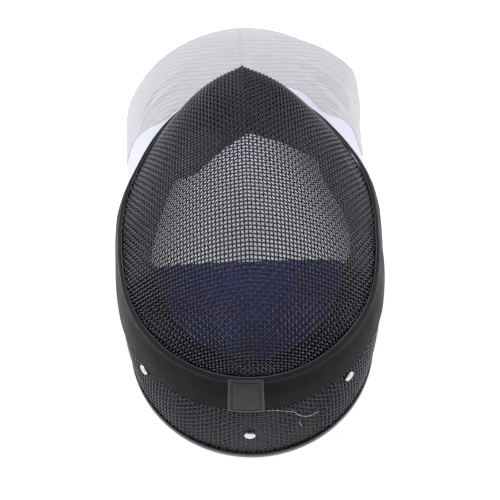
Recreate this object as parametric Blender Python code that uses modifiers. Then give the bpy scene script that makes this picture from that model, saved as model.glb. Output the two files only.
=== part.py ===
"""Fencing mask lying face up: pressed wire front, crown mesh, trim band, bib and linings.

Metres, +Z up. The mask rests on its rim and on the bib's hem at z = 0. +Y runs from the
crown to the chin, and x = 0 is the plane of the front's ridge. Every wall is described by
its distance outward from the front mesh's edge, the line on which the whole mask is built.
The tables count y from a point under the front's crown; each finished piece is moved by
MIDDLE_Y, so that the origin lies under the middle of the mask.
"""

import math

import bmesh
import bpy
import numpy as np
from mathutils import Matrix, Vector

COLLECTION = "fencing_mask"
MIDDLE_Y = 0.1321

# Walls
WIRE_WALL = 0.0020  # woven wire cloth of 1 mm wires
BAND_WALL = 0.0018
BIB_WALL = 0.0020
LAME_WALL = 0.0010
LINING_WALL = 0.0030
PAD_WALL = 0.0070
GAP = 0.0004  # between neighbouring pieces

# Front mesh: its edge in plan is an arc round the crown and a tapering curve to the chin
CROWN_RADIUS = 0.0930
CROWN_Y = 0.0447  # centre of the crown arc
CROWN_TURN = math.radians(80)  # half the angle of the arc
CROWN_END_Y = CROWN_Y - CROWN_RADIUS * math.cos(CROWN_TURN)
CHIN_Y = 0.2045
TIP_Y = 0.2020  # the ridge reaches the chin tip here and turns down
TOP_Y = 0.0600  # highest point of the ridge
TOP_Z = 0.1880
TIP_Z = 0.1400
CROWN_BOW = 1.85  # exponent of the ridge's arc from the crown to the top
FLANGE = 0.0070  # the front mesh's turned-down edge behind the band

# Number of stations along the edge, from the crown centre to the chin centre
CROWN_STEPS = 10
SIDE_STEPS = 14
ACROSS = 12  # columns from the ridge to the edge

# Edge of the front mesh from the side to the chin
PLAN_COLUMNS = ("y", "half_width")
PLAN = (
    (CROWN_END_Y, CROWN_RADIUS * math.sin(CROWN_TURN)),
    (0.037, 0.0929),
    (0.048, 0.0942),
    (0.060, 0.0949),
    (0.075, 0.0949),
    (0.094, 0.0930),
    (0.111, 0.0893),
    (0.131, 0.0820),
    (0.158, 0.0692),
    (0.182, 0.0512),
    (0.198, 0.0282),
    (0.2045, 0.0),
)

# Cross-sections of the front mesh: height of the edge, share of the drop that the ridge's
# straight slopes take, and exponent of the bend towards the side wall
SECTION_COLUMNS = ("y", "edge_z", "ridge_share", "bend")
SECTIONS = (
    (-0.049, 0.115, 0.22, 2.2),
    (0.040, 0.114, 0.24, 2.2),
    (0.100, 0.109, 0.29, 2.2),
    (0.150, 0.105, 0.33, 2.8),
    (0.190, 0.102, 0.36, 4.5),
    (0.2045, 0.101, 0.36, 5.0),
)

# Trim band: how far it reaches down from the edge, and outward there, on each side
BAND_COLUMNS = ("y", "left_drop", "right_drop", "left_flare", "right_flare")
BAND = (
    (-0.0483, 0.0400, 0.0400, 0.0100, 0.0100),
    (-0.0400, 0.0435, 0.0392, 0.0099, 0.0100),
    (-0.0210, 0.0465, 0.0383, 0.0097, 0.0100),
    (0.0020, 0.0488, 0.0372, 0.0094, 0.0100),
    (0.0460, 0.0490, 0.0365, 0.0090, 0.0092),
    (0.0720, 0.0380, 0.0352, 0.0084, 0.0086),
    (0.0980, 0.0150, 0.0150, 0.0078, 0.0094),
    (0.1200, 0.0130, 0.0130, 0.0072, 0.0108),
    (0.1350, 0.0130, 0.0130, 0.0062, 0.0102),
    (0.1500, 0.0130, 0.0130, 0.0050, 0.0072),
    (0.2045, 0.0130, 0.0130, 0.0040, 0.0040),
)

# Crown mesh and rim: the rim's outer face is an arc round the crown with straight sides
RIM_RADIUS = 0.0968
RIM_Y = 0.0291  # centre of the rim's arc
RIM_TAPER = 0.020  # the sides draw in by this much of their length
WALL_END_Y = 0.0950  # the crown mesh ends and the bib begins here
WALL_BULGE = 0.0010
RIM_BASE = 0.0022  # thickness of the rim under the mesh
RIM_LIP = 0.0012
RIM_HEIGHT = 0.0044
TAPE_HEIGHT = 0.0022
TAPE_WALL = 0.0009
HEART = Vector((0.0, 0.060, 0.070))  # a point in the hollow, from which walls face away

# Bib: radius of the hem about a point on the centre line, by the angle from the side
BIB_HALF_WIDTH = 0.0982
HEM_Y = 0.2300
HEM_COLUMNS = ("degrees", "left", "right")
HEM = (
    (0, 0.0993, 0.0983),
    (15, 0.0999, 0.1028),
    (30, 0.0990, 0.1089),
    (45, 0.0989, 0.1046),
    (60, 0.0986, 0.1000),
    (75, 0.0989, 0.0996),
    (90, 0.0998, 0.0998),
)
BIB_SIDE_SHARE = 0.40  # share of the stations that lies along the straight side
BIB_STEPS = 22
BIB_ROWS = 7
BIB_BULGE = 0.0070
BIB_TUCK = 0.0040  # height of the bib's edge behind the band
BIB_TURN = 0.0013  # below the band, where the bib turns outward
HEM_LIFT = 0.0024  # of the outer face at the hem, so that the inner one ends at z = 0
HEM_SIDE_LIFT = 0.0005
# Where the silver cloth begins, as a share of the way from the band to the hem
LAME_COLUMNS = ("along", "left", "right")
LAME_START = (
    (0.30, 0.88, 0.56),
    (0.34, 0.64, 0.46),
    (0.38, 0.53, 0.46),
    (0.435, 0.37, 0.38),
    (0.50, 0.25, 0.27),
    (0.56, 0.15, 0.16),
    (0.61, 0.12, 0.12),
    (0.69, 0.11, 0.16),
    (0.75, 0.10, 0.18),
    (0.82, 0.10, 0.17),
    (1.00, 0.12, 0.13),
)
LAME_STEPS = 18
LAME_ROWS = 5
LAME_OUT = 0.0022  # of its outer face from the bib's

# Cheek and chin lining: its free edge, against the place on the front mesh's edge
LINING_Z = 0.0600
LINING_TOP = 0.0040
LINING_INSET = 0.0024
LINING_COLUMNS = ("y", "left_x", "left_y", "right_x", "right_y")
LINING = (
    (0.030, 0.067, 0.045, 0.071, 0.045),
    (0.058, 0.068, 0.062, 0.072, 0.062),
    (0.067, 0.073, 0.069, 0.077, 0.069),
    (0.075, 0.078, 0.075, 0.081, 0.075),
    (0.098, 0.074, 0.100, 0.081, 0.098),
    (0.115, 0.070, 0.114, 0.077, 0.114),
    (0.131, 0.065, 0.131, 0.069, 0.130),
    (0.145, 0.061, 0.141, 0.064, 0.143),
    (0.158, 0.057, 0.148, 0.061, 0.155),
    (0.170, 0.050, 0.150, 0.060, 0.161),
    (0.182, 0.041, 0.153, 0.048, 0.169),
    (0.190, 0.029, 0.165, 0.036, 0.177),
    (0.198, 0.014, 0.178, 0.018, 0.185),
    (0.2045, -0.003, 0.190, 0.003, 0.190),
)
LINING_ROWS = 4
LINING_START_Y = 0.0340
LINING_RISE_Y = 0.1860  # from here to the chin it climbs inside the front mesh
LINING_RISE_BACK = 0.0060  # how far behind the chin it ends
LINING_DEPTH = 0.0038  # under the front mesh's outer face

# Crown lining: a wall behind the crown mesh and a shelf that turns in under the front mesh
CROWN_LINING_END_Y = 0.0325
CROWN_LINING_BASE = 0.0026
SHELF_Z = 0.1050

# Forehead pad: a half disc in plan, domed
PAD_RADIUS = 0.0680
PAD_Y = 0.0325
PAD_EDGE_Z = 0.1190  # at the crown
PAD_SIDE_Z = 0.1380
PAD_TOP_Z = 0.1475
PAD_BOW = 0.0032  # how far its straight edge bows towards the crown
PAD_STEPS = 12
PAD_RINGS = 6
PAD_LAP = 0.0040  # how far it lies over the lining's shelf

# Tongue: a strip in the plane x = 0, fastened to the crown lining by the centre rivet
TONGUE_COLUMNS = ("y", "z", "half_width")
TONGUE = (
    (-0.0515, 0.0540, 0.0160),
    (-0.0541, 0.0330, 0.0190),
    (-0.0541, 0.0200, 0.0200),
    (-0.0430, 0.0110, 0.0220),
    (-0.0100, 0.0120, 0.0240),
    (0.0300, 0.0180, 0.0290),
    (0.0600, 0.0235, 0.0320),
    (0.0750, 0.0260, 0.0300),
    (0.0830, 0.0270, 0.0190),
)
TONGUE_WALL = 0.0030

# Patch and rivets
PATCH_WIDTH = 0.0243
PATCH_TURN = -3.5  # degrees round the crown
PATCH_WALL = 0.0014
RIVET_RADIUS = 0.00435
RIVET_HEIGHT = 0.0015
RIVET_SEAT = 0.0006  # height of its seat above the wall behind it
# Each rivet's place: degrees round the crown from its centre, and height
RIVET_COLUMNS = ("name", "turn", "z")
RIVETS = (
    ("rivet_left", -54.0, 0.0583),
    ("rivet_centre", -2.3, 0.0380),
    ("rivet_right", 44.2, 0.0640),
)

MATERIALS = {
    # name: (colour, metallic, roughness)
    "wire": ((0.020, 0.020, 0.022), 0.3, 0.45),
    "band_vinyl": ((0.022, 0.022, 0.024), 0.0, 0.55),
    "patch_vinyl": ((0.060, 0.060, 0.066), 0.0, 0.50),
    "rim_plastic": ((0.42, 0.42, 0.43), 0.0, 0.50),
    "tape": ((0.008, 0.008, 0.009), 0.0, 0.70),
    "rivet_steel": ((0.75, 0.75, 0.75), 1.0, 0.30),
    "bib_cloth": ((0.84, 0.84, 0.92), 0.0, 0.80),
    "lame_cloth": ((0.66, 0.66, 0.68), 0.3, 0.55),
    "navy_pad": ((0.018, 0.018, 0.080), 0.0, 0.85),
    "lining_cloth": ((0.012, 0.012, 0.014), 0.0, 0.90),
    "tongue_cloth": ((0.015, 0.015, 0.017), 0.0, 0.80),
}


def column(table, columns, name):
    """One named column of a table, as an array."""
    place = columns.index(name)
    return np.array([row[place] for row in table], float)


def smooth(x, knots, values):
    """A monotone cubic curve through the knots, so nothing overshoots between two rows."""
    x = np.clip(np.asarray(x, float), knots[0], knots[-1])
    step = np.diff(knots)
    slope = np.diff(values) / step
    tangent = np.zeros(len(knots))
    tangent[0] = slope[0]
    tangent[-1] = slope[-1]
    for i in range(1, len(knots) - 1):
        if slope[i - 1] * slope[i] > 0:
            before = 2 * step[i] + step[i - 1]
            after = step[i] + 2 * step[i - 1]
            tangent[i] = (before + after) / (before / slope[i - 1] + after / slope[i])
    i = np.clip(np.searchsorted(knots, x, side="right") - 1, 0, len(step) - 1)
    t = (x - knots[i]) / step[i]
    rise = values[i + 1] - values[i]
    bend = t * (1 - t) * ((1 - t) * (tangent[i] * step[i] - rise) - t * (tangent[i + 1] * step[i] - rise))
    return values[i] + t * rise + bend


def read(table, columns, name, x, key="y"):
    """A column's value at x, read smoothly between the rows."""
    return smooth(x, column(table, columns, key), column(table, columns, name))


# The front mesh's edge


def edge_stations():
    """The y of each station from the crown centre to the chin centre."""
    crown = [
        CROWN_Y - CROWN_RADIUS * math.cos(CROWN_TURN * i / CROWN_STEPS)
        for i in range(CROWN_STEPS)
    ]
    side = [
        CROWN_END_Y + (CHIN_Y - CROWN_END_Y) * math.sin(math.pi / 2 * i / SIDE_STEPS)
        for i in range(SIDE_STEPS + 1)
    ]
    return crown + side


def edge_half_width(y):
    """Half the width of the front mesh's edge at y."""
    if y < CROWN_END_Y:
        return math.sqrt(max(CROWN_RADIUS**2 - (CROWN_Y - y) ** 2, 0.0))
    return float(read(PLAN, PLAN_COLUMNS, "half_width", y))


def edge_height(y):
    return float(read(SECTIONS, SECTION_COLUMNS, "edge_z", y))


def edge_normal(y):
    """The outward direction in plan on the +X side of the edge."""
    if y < CROWN_END_Y:
        return edge_half_width(y) / CROWN_RADIUS, (y - CROWN_Y) / CROWN_RADIUS
    if y > CHIN_Y - 0.0001:
        return 0.0, 1.0
    reach = 0.0008
    low, high = y - reach, min(y + reach, CHIN_Y)
    run = edge_half_width(high) - edge_half_width(low)
    size = math.hypot(high - low, run)
    return (high - low) / size, -run / size


def off_edge(y, out, z, side=1):
    """A point at a distance outward from the edge, seen in plan, at height z."""
    nx, ny = edge_normal(y)
    return side * (edge_half_width(y) + out * nx), y + out * ny, z


def ridge_height(y):
    """Height of the ridge: an arc up from the crown, a parabola down to the chin tip."""
    if y < TOP_Y:
        start = CROWN_Y - CROWN_RADIUS
        run = min((TOP_Y - y) / (TOP_Y - start), 1.0)
        foot = edge_height(start)
        return foot + (TOP_Z - foot) * (1 - run**CROWN_BOW) ** (1 / CROWN_BOW)
    if y < TIP_Y:
        return TOP_Z - (TOP_Z - TIP_Z) * ((y - TOP_Y) / (TIP_Y - TOP_Y)) ** 2
    foot = edge_height(CHIN_Y)
    run = min((y - TIP_Y) / (CHIN_Y - TIP_Y), 1.0)
    return foot + (TIP_Z - foot) * math.sqrt(1 - run**2)


def front_point(y, across):
    """A point of the front mesh; across is -1 at the left edge, 0 on the ridge, 1 right."""
    share = float(read(SECTIONS, SECTION_COLUMNS, "ridge_share", y))
    bend = float(read(SECTIONS, SECTION_COLUMNS, "bend", y))
    foot = edge_height(y)
    drop = share * abs(across) + (1 - share) * abs(across) ** bend
    z = foot + (ridge_height(y) - foot) * (1 - drop)
    return edge_half_width(y) * across, y, z


# Blender helpers


def clear_scene():
    for old in list(bpy.data.objects):
        bpy.data.objects.remove(old, do_unlink=True)


def new_collection(name):
    group = bpy.data.collections.new(name)
    bpy.context.scene.collection.children.link(group)
    return group


def material(name):
    """A Principled material from the table, made once."""
    if name in bpy.data.materials:
        return bpy.data.materials[name]
    colour, metallic, roughness = MATERIALS[name]
    made = bpy.data.materials.new(name)
    made.use_nodes = True
    shader = made.node_tree.nodes["Principled BSDF"]
    shader.inputs["Base Color"].default_value = (*colour, 1.0)
    shader.inputs["Metallic"].default_value = metallic
    shader.inputs["Roughness"].default_value = roughness
    return made


def add_object(group, name, mesh, finish):
    mesh.materials.append(material(finish))
    mesh.shade_smooth()
    mesh.set_sharp_from_angle(angle=math.radians(40))
    made = bpy.data.objects.new(name, mesh)
    made.location = (0.0, -MIDDLE_Y, 0.0)
    group.objects.link(made)
    return made


def grid_mesh(name, rows, closed=False):
    """An open surface through rows of points; a row of one point is a pole."""
    form = bmesh.new()
    lines = [[form.verts.new(p) for p in row] for row in rows]
    for low, high in zip(lines, lines[1:]):
        count = max(len(low), len(high))
        for i in range(count if closed else count - 1):
            j = (i + 1) % count
            corners = [low[i % len(low)], low[j % len(low)], high[j % len(high)], high[i % len(high)]]
            corners = list(dict.fromkeys(corners))
            form.faces.new(corners)
    form.normal_update()
    facing = sum((f.calc_center_median() - HEART).dot(f.normal) * f.calc_area() for f in form.faces)
    if facing < 0:
        bmesh.ops.reverse_faces(form, faces=form.faces)
    mesh = bpy.data.meshes.new(name)
    form.to_mesh(mesh)
    form.free()
    return mesh


def add_wall(group, name, rows, thickness, finish, closed=False):
    """A wall whose given surface is the outer one and which grows inward."""
    made = add_object(group, name, grid_mesh(name, rows, closed), finish)
    skin = made.modifiers.new("wall", "SOLIDIFY")
    skin.thickness = thickness
    skin.offset = -1
    skin.use_even_offset = True
    return made


# Pieces


def build_front_mesh(group):
    """The pressed dome, with its edge turned down behind the band."""
    columns = [math.sin(math.pi / 2 * i / ACROSS) for i in range(-ACROSS, ACROSS + 1)]
    rows = []
    stations = edge_stations()
    for y in stations:
        if y in (stations[0], stations[-1]):
            rows.append([front_point(y, 0)])
        else:
            rows.append([front_point(y, across) for across in columns])
    mesh = grid_mesh("front_mesh", rows)
    form = bmesh.new()
    form.from_mesh(mesh)
    rim = [e for e in form.edges if e.is_boundary]
    turned = bmesh.ops.extrude_edge_only(form, edges=rim)["geom"]
    for vert in [g for g in turned if isinstance(g, bmesh.types.BMVert)]:
        y = vert.co.y
        side = -1 if vert.co.x < 0 else 1
        out = band_flare(y, side) * FLANGE / band_drop(y, side) * 0.5
        vert.co = Vector(off_edge(y, out, edge_height(y) - FLANGE, side))
    bmesh.ops.recalc_face_normals(form, faces=form.faces)
    form.to_mesh(mesh)
    form.free()
    made = add_object(group, "front_mesh", mesh, "wire")
    skin = made.modifiers.new("wall", "SOLIDIFY")
    skin.thickness = WIRE_WALL
    skin.offset = -1
    skin.use_even_offset = True
    return made


def side_column(side, name):
    return ("left_" if side < 0 else "right_") + name


def band_drop(y, side):
    return float(read(BAND, BAND_COLUMNS, side_column(side, "drop"), y))


def band_flare(y, side):
    return float(read(BAND, BAND_COLUMNS, side_column(side, "flare"), y))


def band_out(y, down, side):
    """Outward distance of the band's outer face, at a share of the way down it."""
    top = GAP + BAND_WALL
    return top + (band_flare(y, side) - top) * down + 0.0006 * math.sin(math.pi * down)


def band_point(y, down, side, above=0.0):
    """A point at a distance outside the band's outer face."""
    z = edge_height(y) - band_drop(y, side) * down
    return off_edge(y, band_out(y, down, side) + above, z, side)


def build_band(group):
    """The closed ring over the joint of the two meshes."""
    stations = edge_stations()
    ring = [(y, 1) for y in stations] + [(y, -1) for y in reversed(stations[1:-1])]
    rows = []
    for down in (0.0, 0.33, 0.67, 1.0):
        rows.append([band_point(y, down, side) for y, side in ring])
    return add_wall(group, "trim_band", rows, BAND_WALL, "band_vinyl", closed=True)


def rim_out(y):
    """Outward distance of the rim's outer face from the front mesh's edge."""
    nx, ny = edge_normal(y)
    x = edge_half_width(y)
    along = x * nx + (y - RIM_Y) * ny
    out = math.sqrt(along**2 + RIM_RADIUS**2 - x**2 - (y - RIM_Y) ** 2) - along
    if y + out * ny < RIM_Y:
        return out
    return (RIM_RADIUS - RIM_TAPER * (y - RIM_Y) - x) / nx


def wall_point(y, z, side, above=0.0):
    """A point at a distance outside the crown mesh's outer face, at height z."""
    top = edge_height(y)
    knee = top - band_drop(y, side)
    low = rim_out(y) - RIM_LIP - GAP
    high = band_flare(y, side) - BAND_WALL - GAP - 0.0002
    if z > knee:
        out = -0.0006 + (high + 0.0006) * (top - z) / (top - knee)
    else:
        share = min((knee - z) / (knee - RIM_HEIGHT - GAP), 1.0)
        out = high + (low - high) * share + WALL_BULGE * math.sin(math.pi * share)
    return off_edge(y, out + above, z, side)


def open_ring(last_y):
    """Stations from the left side round the crown to the right side, up to last_y."""
    stations = [y for y in edge_stations() if y < last_y - 0.004] + [last_y]
    return [(y, -1) for y in reversed(stations[1:])] + [(y, 1) for y in stations]


def build_crown_mesh(group):
    rows = []
    for level in (1.0, 0.8, 0.6, 0.4, 0.2, 0.0, -1.0):
        row = []
        for y, side in open_ring(WALL_END_Y):
            top = edge_height(y) - FLANGE - 0.0015
            low = RIM_HEIGHT + GAP
            z = low + (top - low) * level if level >= 0 else RIM_BASE + GAP
            row.append(wall_point(y, z, side))
        rows.append(row)
    return add_wall(group, "crown_mesh", rows, WIRE_WALL, "wire")


def profile_sweep(name, ring, profile):
    """A closed profile carried along an open ring, with its ends filled."""
    form = bmesh.new()
    loops = []
    for y, side in ring:
        loops.append([form.verts.new(off_edge(y, out(y), z, side)) for out, z in profile])
    count = len(profile)
    for a, b in zip(loops, loops[1:]):
        for i in range(count):
            j = (i + 1) % count
            form.faces.new((a[i], a[j], b[j], b[i]))
    form.faces.new(loops[0])
    form.faces.new(list(reversed(loops[-1])))
    bmesh.ops.recalc_face_normals(form, faces=form.faces)
    mesh = bpy.data.meshes.new(name)
    form.to_mesh(mesh)
    form.free()
    return mesh


def build_rim(group):
    """The grey edge strip: a base under the crown mesh and a lip outside it."""
    base_in = RIM_LIP + GAP + WIRE_WALL + 0.0006
    profile = (
        (rim_out, 0.0),
        (rim_out, RIM_HEIGHT),
        (lambda y: rim_out(y) - RIM_LIP, RIM_HEIGHT),
        (lambda y: rim_out(y) - RIM_LIP, RIM_BASE),
        (lambda y: rim_out(y) - base_in, RIM_BASE),
        (lambda y: rim_out(y) - base_in, 0.0),
    )
    mesh = profile_sweep("rim", open_ring(WALL_END_Y), profile)
    return add_object(group, "rim", mesh, "rim_plastic")


def build_rim_tape(group):
    """The thin black tape above the rim."""
    low = RIM_HEIGHT + GAP
    rows = []
    for z in (low + TAPE_HEIGHT, low):
        row = []
        for y, side in open_ring(WALL_END_Y):
            row.append(wall_point(y, z, side, GAP + TAPE_WALL))
        rows.append(row)
    return add_wall(group, "rim_tape", rows, TAPE_WALL, "tape")


def edge_along(first_y, count):
    """The y of points evenly spaced along the edge from first_y to the chin."""
    fine = np.linspace(first_y, CHIN_Y, 400)
    wide = np.array([edge_half_width(y) for y in fine])
    run = np.concatenate([[0], np.cumsum(np.hypot(np.diff(fine), np.diff(wide)))])
    return [float(np.interp(run[-1] * i / count, run, fine)) for i in range(count + 1)]


def hem_point(along, side):
    """The bib's hem; along is 0 at its back end and 1 on the centre line."""
    back = WALL_END_Y + 0.0010
    if along < BIB_SIDE_SHARE:
        share = along / BIB_SIDE_SHARE
        corner = float(read(HEM, HEM_COLUMNS, "left" if side < 0 else "right", 0.0, "degrees"))
        x = BIB_HALF_WIDTH + (corner - BIB_HALF_WIDTH) * share ** 2
        return side * x, back + (HEM_Y - back) * share, HEM_SIDE_LIFT
    degrees = 90 * (along - BIB_SIDE_SHARE) / (1 - BIB_SIDE_SHARE)
    radius = float(read(HEM, HEM_COLUMNS, "left" if side < 0 else "right", degrees, "degrees"))
    turn = math.radians(degrees)
    lift = HEM_SIDE_LIFT + (HEM_LIFT - HEM_SIDE_LIFT) * math.sin(turn)
    return side * radius * math.cos(turn), HEM_Y + radius * math.sin(turn), lift


def bib_top(along, side, rise):
    """A point on the bib's upper edge, which stands up behind the band."""
    y = edge_y_of(along)
    drop = band_drop(y, side)
    inner = band_out(y, min(1 - rise / drop, 1.0), side) - BAND_WALL - GAP - 0.0010
    return Vector(off_edge(y, inner, edge_height(y) - drop + rise, side))


def bib_point(along, down, side, out=0.0):
    """A point of the bib's outer face, or of one lying at a distance outside it."""
    y = edge_y_of(along)
    top = bib_top(along, side, -BIB_TURN)
    hem = Vector(hem_point(along, side))
    nx, ny = edge_normal(y)
    outward = Vector((side * nx, ny, 0.35)).normalized()
    swell = BIB_BULGE * 4 * down * (1 - down) * (0.35 + 0.65 * along)
    return top.lerp(hem, down) + outward * (swell + out)


BIB_EDGE = edge_along(WALL_END_Y + 0.0010, 60)


def edge_y_of(along):
    return float(np.interp(along, np.linspace(0, 1, len(BIB_EDGE)), BIB_EDGE))


def bib_ring(first=0.0, steps=BIB_STEPS):
    """Stations from the left end round the chin to the right end."""
    side = [first + (1 - first) * i / steps for i in range(steps + 1)]
    return [(along, -1) for along in side[:-1]] + [(along, 1) for along in reversed(side)]


def build_bib(group):
    rows = [[bib_top(along, side, BIB_TUCK) for along, side in bib_ring()]]
    for i in range(BIB_ROWS + 1):
        rows.append([bib_point(along, i / BIB_ROWS, side) for along, side in bib_ring()])
    return add_wall(group, "bib", rows, BIB_WALL, "bib_cloth")


def lame_start(along, side):
    name = "left" if side < 0 else "right"
    return float(read(LAME_START, LAME_COLUMNS, name, along, "along"))


def build_lame(group):
    """The silver cloth over the outer part of the bib."""
    rows = []
    for i in range(LAME_ROWS + 1):
        row = []
        for along, side in bib_ring(LAME_START[0][0], LAME_STEPS):
            start = lame_start(along, side)
            down = start + (1 - start) * i / LAME_ROWS
            row.append(bib_point(along, down, side, LAME_OUT))
        rows.append(row)
    return add_wall(group, "bib_lame", rows, LAME_WALL, "lame_cloth")


def lining_edge(y, side):
    """The cheek lining's free edge."""
    name = "left" if side < 0 else "right"
    x = float(read(LINING, LINING_COLUMNS, name + "_x", y))
    return side * x, float(read(LINING, LINING_COLUMNS, name + "_y", y)), LINING_Z


def front_inside(y, across, depth):
    """A point at a depth under the front mesh's outer face."""
    along = Vector(front_point(y + 0.0004, across)) - Vector(front_point(y - 0.0004, across))
    over = Vector(front_point(y, across + 0.004)) - Vector(front_point(y, across - 0.004))
    return Vector(front_point(y, across)) + along.cross(over).normalized() * depth


def lining_head(y, side):
    """The cheek lining's upper edge, which climbs inside the front mesh near the chin."""
    run = min(max((y - LINING_RISE_Y) / (CHIN_Y - LINING_RISE_Y), 0.0), 1.0)
    climb = run * run * (3 - 2 * run)
    return front_inside(y - LINING_RISE_BACK * climb, side * (1 - climb), LINING_DEPTH)


def build_cheek_lining(group):
    stations = [LINING_START_Y] + [y for y in edge_stations() if y > LINING_START_Y + 0.006]
    ring = [(y, -1) for y in stations[:-1]] + [(y, 1) for y in reversed(stations)]
    rows = [[lining_head(y, side) for y, side in ring]]
    for i in range(LINING_ROWS + 1):
        down = i / LINING_ROWS
        row = []
        for y, side in ring:
            top = Vector(off_edge(y, -LINING_INSET, edge_height(y) - LINING_TOP, side))
            free = Vector(lining_edge(y, side))
            if y == CHIN_Y:
                free.x = 0.003
            row.append(top.lerp(free, down))
        rows.append(row)
    return add_wall(group, "cheek_lining", rows, LINING_WALL, "lining_cloth")


def pad_edge_point(turn, inset=0.0):
    """The pad's round edge; turn is 0 at the crown and +-90 degrees at its sides."""
    radius = PAD_RADIUS - inset
    z = PAD_EDGE_Z + (PAD_SIDE_Z - PAD_EDGE_Z) * math.sin(turn) ** 2
    return radius * math.sin(turn), PAD_Y - radius * math.cos(turn), z


def build_crown_lining(group):
    """The black cup behind the crown mesh: a wall, and a shelf that carries the pad."""
    ring = open_ring(CROWN_LINING_END_Y)
    inset = -WIRE_WALL - 0.0009
    rows = []
    last = len(ring) - 1
    inner = []
    for i in range(last + 1):
        turn = math.radians(-86 + 172 * i / last)
        x, y, z = pad_edge_point(turn, PAD_LAP)
        inner.append((x, y, z - PAD_WALL - GAP))
    outer = [wall_point(y, SHELF_Z, side, inset) for y, side in ring]
    rows.append(inner)
    rows.append([tuple(0.5 * (a + b) for a, b in zip(p, q)) for p, q in zip(inner, outer)])
    rows.append(outer)
    for level in (0.85, 0.57, 0.28, 0.0):
        row = []
        for y, side in ring:
            z = CROWN_LINING_BASE + (SHELF_Z - CROWN_LINING_BASE) * level
            row.append(wall_point(y, z, side, inset))
        rows.append(row)
    return add_wall(group, "crown_lining", rows, LINING_WALL, "lining_cloth")


def build_pad(group):
    """The navy forehead pad: domed, a half disc in plan."""
    rows = []
    for ring in range(PAD_RINGS + 1):
        share = ring / PAD_RINGS  # 0 on the straight edge's middle, 1 on the round edge
        row = []
        for i in range(PAD_STEPS + 1):
            turn = math.radians(-90 + 180 * i / PAD_STEPS)
            x, y, z = pad_edge_point(turn)
            middle_y = PAD_Y - PAD_BOW
            height = PAD_TOP_Z + (z - PAD_TOP_Z) * share**1.8
            row.append((x * share, middle_y + (y - middle_y) * share, height))
        rows.append(row if ring else [(0.0, PAD_Y - PAD_BOW, PAD_TOP_Z)])
    return add_wall(group, "forehead_pad", rows, PAD_WALL, "navy_pad")


def build_tongue(group):
    """The plain curved strip behind the head."""
    rows = []
    y = column(TONGUE, TONGUE_COLUMNS, "y")
    z = column(TONGUE, TONGUE_COLUMNS, "z")
    wide = column(TONGUE, TONGUE_COLUMNS, "half_width")
    run = np.arange(len(y), dtype=float)
    for t in np.linspace(0, run[-1], 25):
        half = float(smooth(t, run, wide))
        row_y = float(smooth(t, run, y))
        row_z = float(smooth(t, run, z))
        rows.append([(half * a, row_y, row_z) for a in (-1.0, -0.5, 0.0, 0.5, 1.0)])
    return add_wall(group, "tongue", rows, TONGUE_WALL, "tongue_cloth")


def build_patch(group):
    """The small square on the band at the crown centre."""
    half = math.degrees(PATCH_WIDTH / 2 / CROWN_RADIUS)
    ring = [crown_place(PATCH_TURN + half * i / 5) for i in range(-5, 6)]
    rows = []
    for down in (-0.01, 0.33, 0.67, 0.985):
        rows.append([band_point(y, down, side, GAP + PATCH_WALL) for y, side in ring])
    return add_wall(group, "trim_patch", rows, PATCH_WALL, "patch_vinyl")


def rivet_profile():
    """Half the outline of a low domed head, from its top to its flat back."""
    points = [(0.0, RIVET_HEIGHT)]
    for i in range(1, 6):
        turn = math.pi / 2 * i / 5
        points.append((RIVET_RADIUS * math.sin(turn), RIVET_HEIGHT * (0.25 + 0.75 * math.cos(turn))))
    points.append((RIVET_RADIUS, 0.0))
    points.append((0.0, 0.0))
    return points


def build_rivet(group, name, seat, outward):
    """A turned head whose back lies on its seat."""
    form = bmesh.new()
    verts = [form.verts.new((x, 0.0, z)) for x, z in rivet_profile()]
    for a, b in zip(verts, verts[1:]):
        form.edges.new((a, b))
    mesh = bpy.data.meshes.new(name)
    form.to_mesh(mesh)
    form.free()
    made = add_object(group, name, mesh, "rivet_steel")
    turned = made.modifiers.new("turned", "SCREW")
    turned.steps = 20
    turned.render_steps = 20
    turned.use_merge_vertices = True
    turned.merge_threshold = 0.00005
    made.location += seat
    made.rotation_euler = Vector(outward).to_track_quat("Z", "Y").to_euler()
    return made


def crown_place(degrees):
    """The station on the crown's arc at an angle from its centre, and its side."""
    turn = math.radians(degrees)
    return CROWN_Y - CROWN_RADIUS * math.cos(turn), -1 if degrees < 0 else 1


def crown_wall_point(degrees, z):
    y, side = crown_place(degrees)
    return Vector(wall_point(y, z, side))


def build_rivets(group):
    for name, degrees, z in RIVETS:
        here = crown_wall_point(degrees, z)
        along = crown_wall_point(degrees + 2.0, z) - crown_wall_point(degrees - 2.0, z)
        up = crown_wall_point(degrees, z + 0.003) - crown_wall_point(degrees, z - 0.003)
        out = along.cross(up).normalized()
        build_rivet(group, name, here + out * RIVET_SEAT, out)


def main():
    clear_scene()
    group = new_collection(COLLECTION)
    build_front_mesh(group)
    build_crown_mesh(group)
    build_band(group)
    build_patch(group)
    build_rim(group)
    build_rim_tape(group)
    build_bib(group)
    build_lame(group)
    build_cheek_lining(group)
    build_crown_lining(group)
    build_pad(group)
    build_tongue(group)
    build_rivets(group)


main()
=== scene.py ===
"""Looks of the fencing mask: woven wire, trim, patch, bib, linings, light and camera."""

import math

import bmesh
import bpy
import numpy as np
from mathutils import Matrix, Vector
from mathutils.bvhtree import BVHTree


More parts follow.
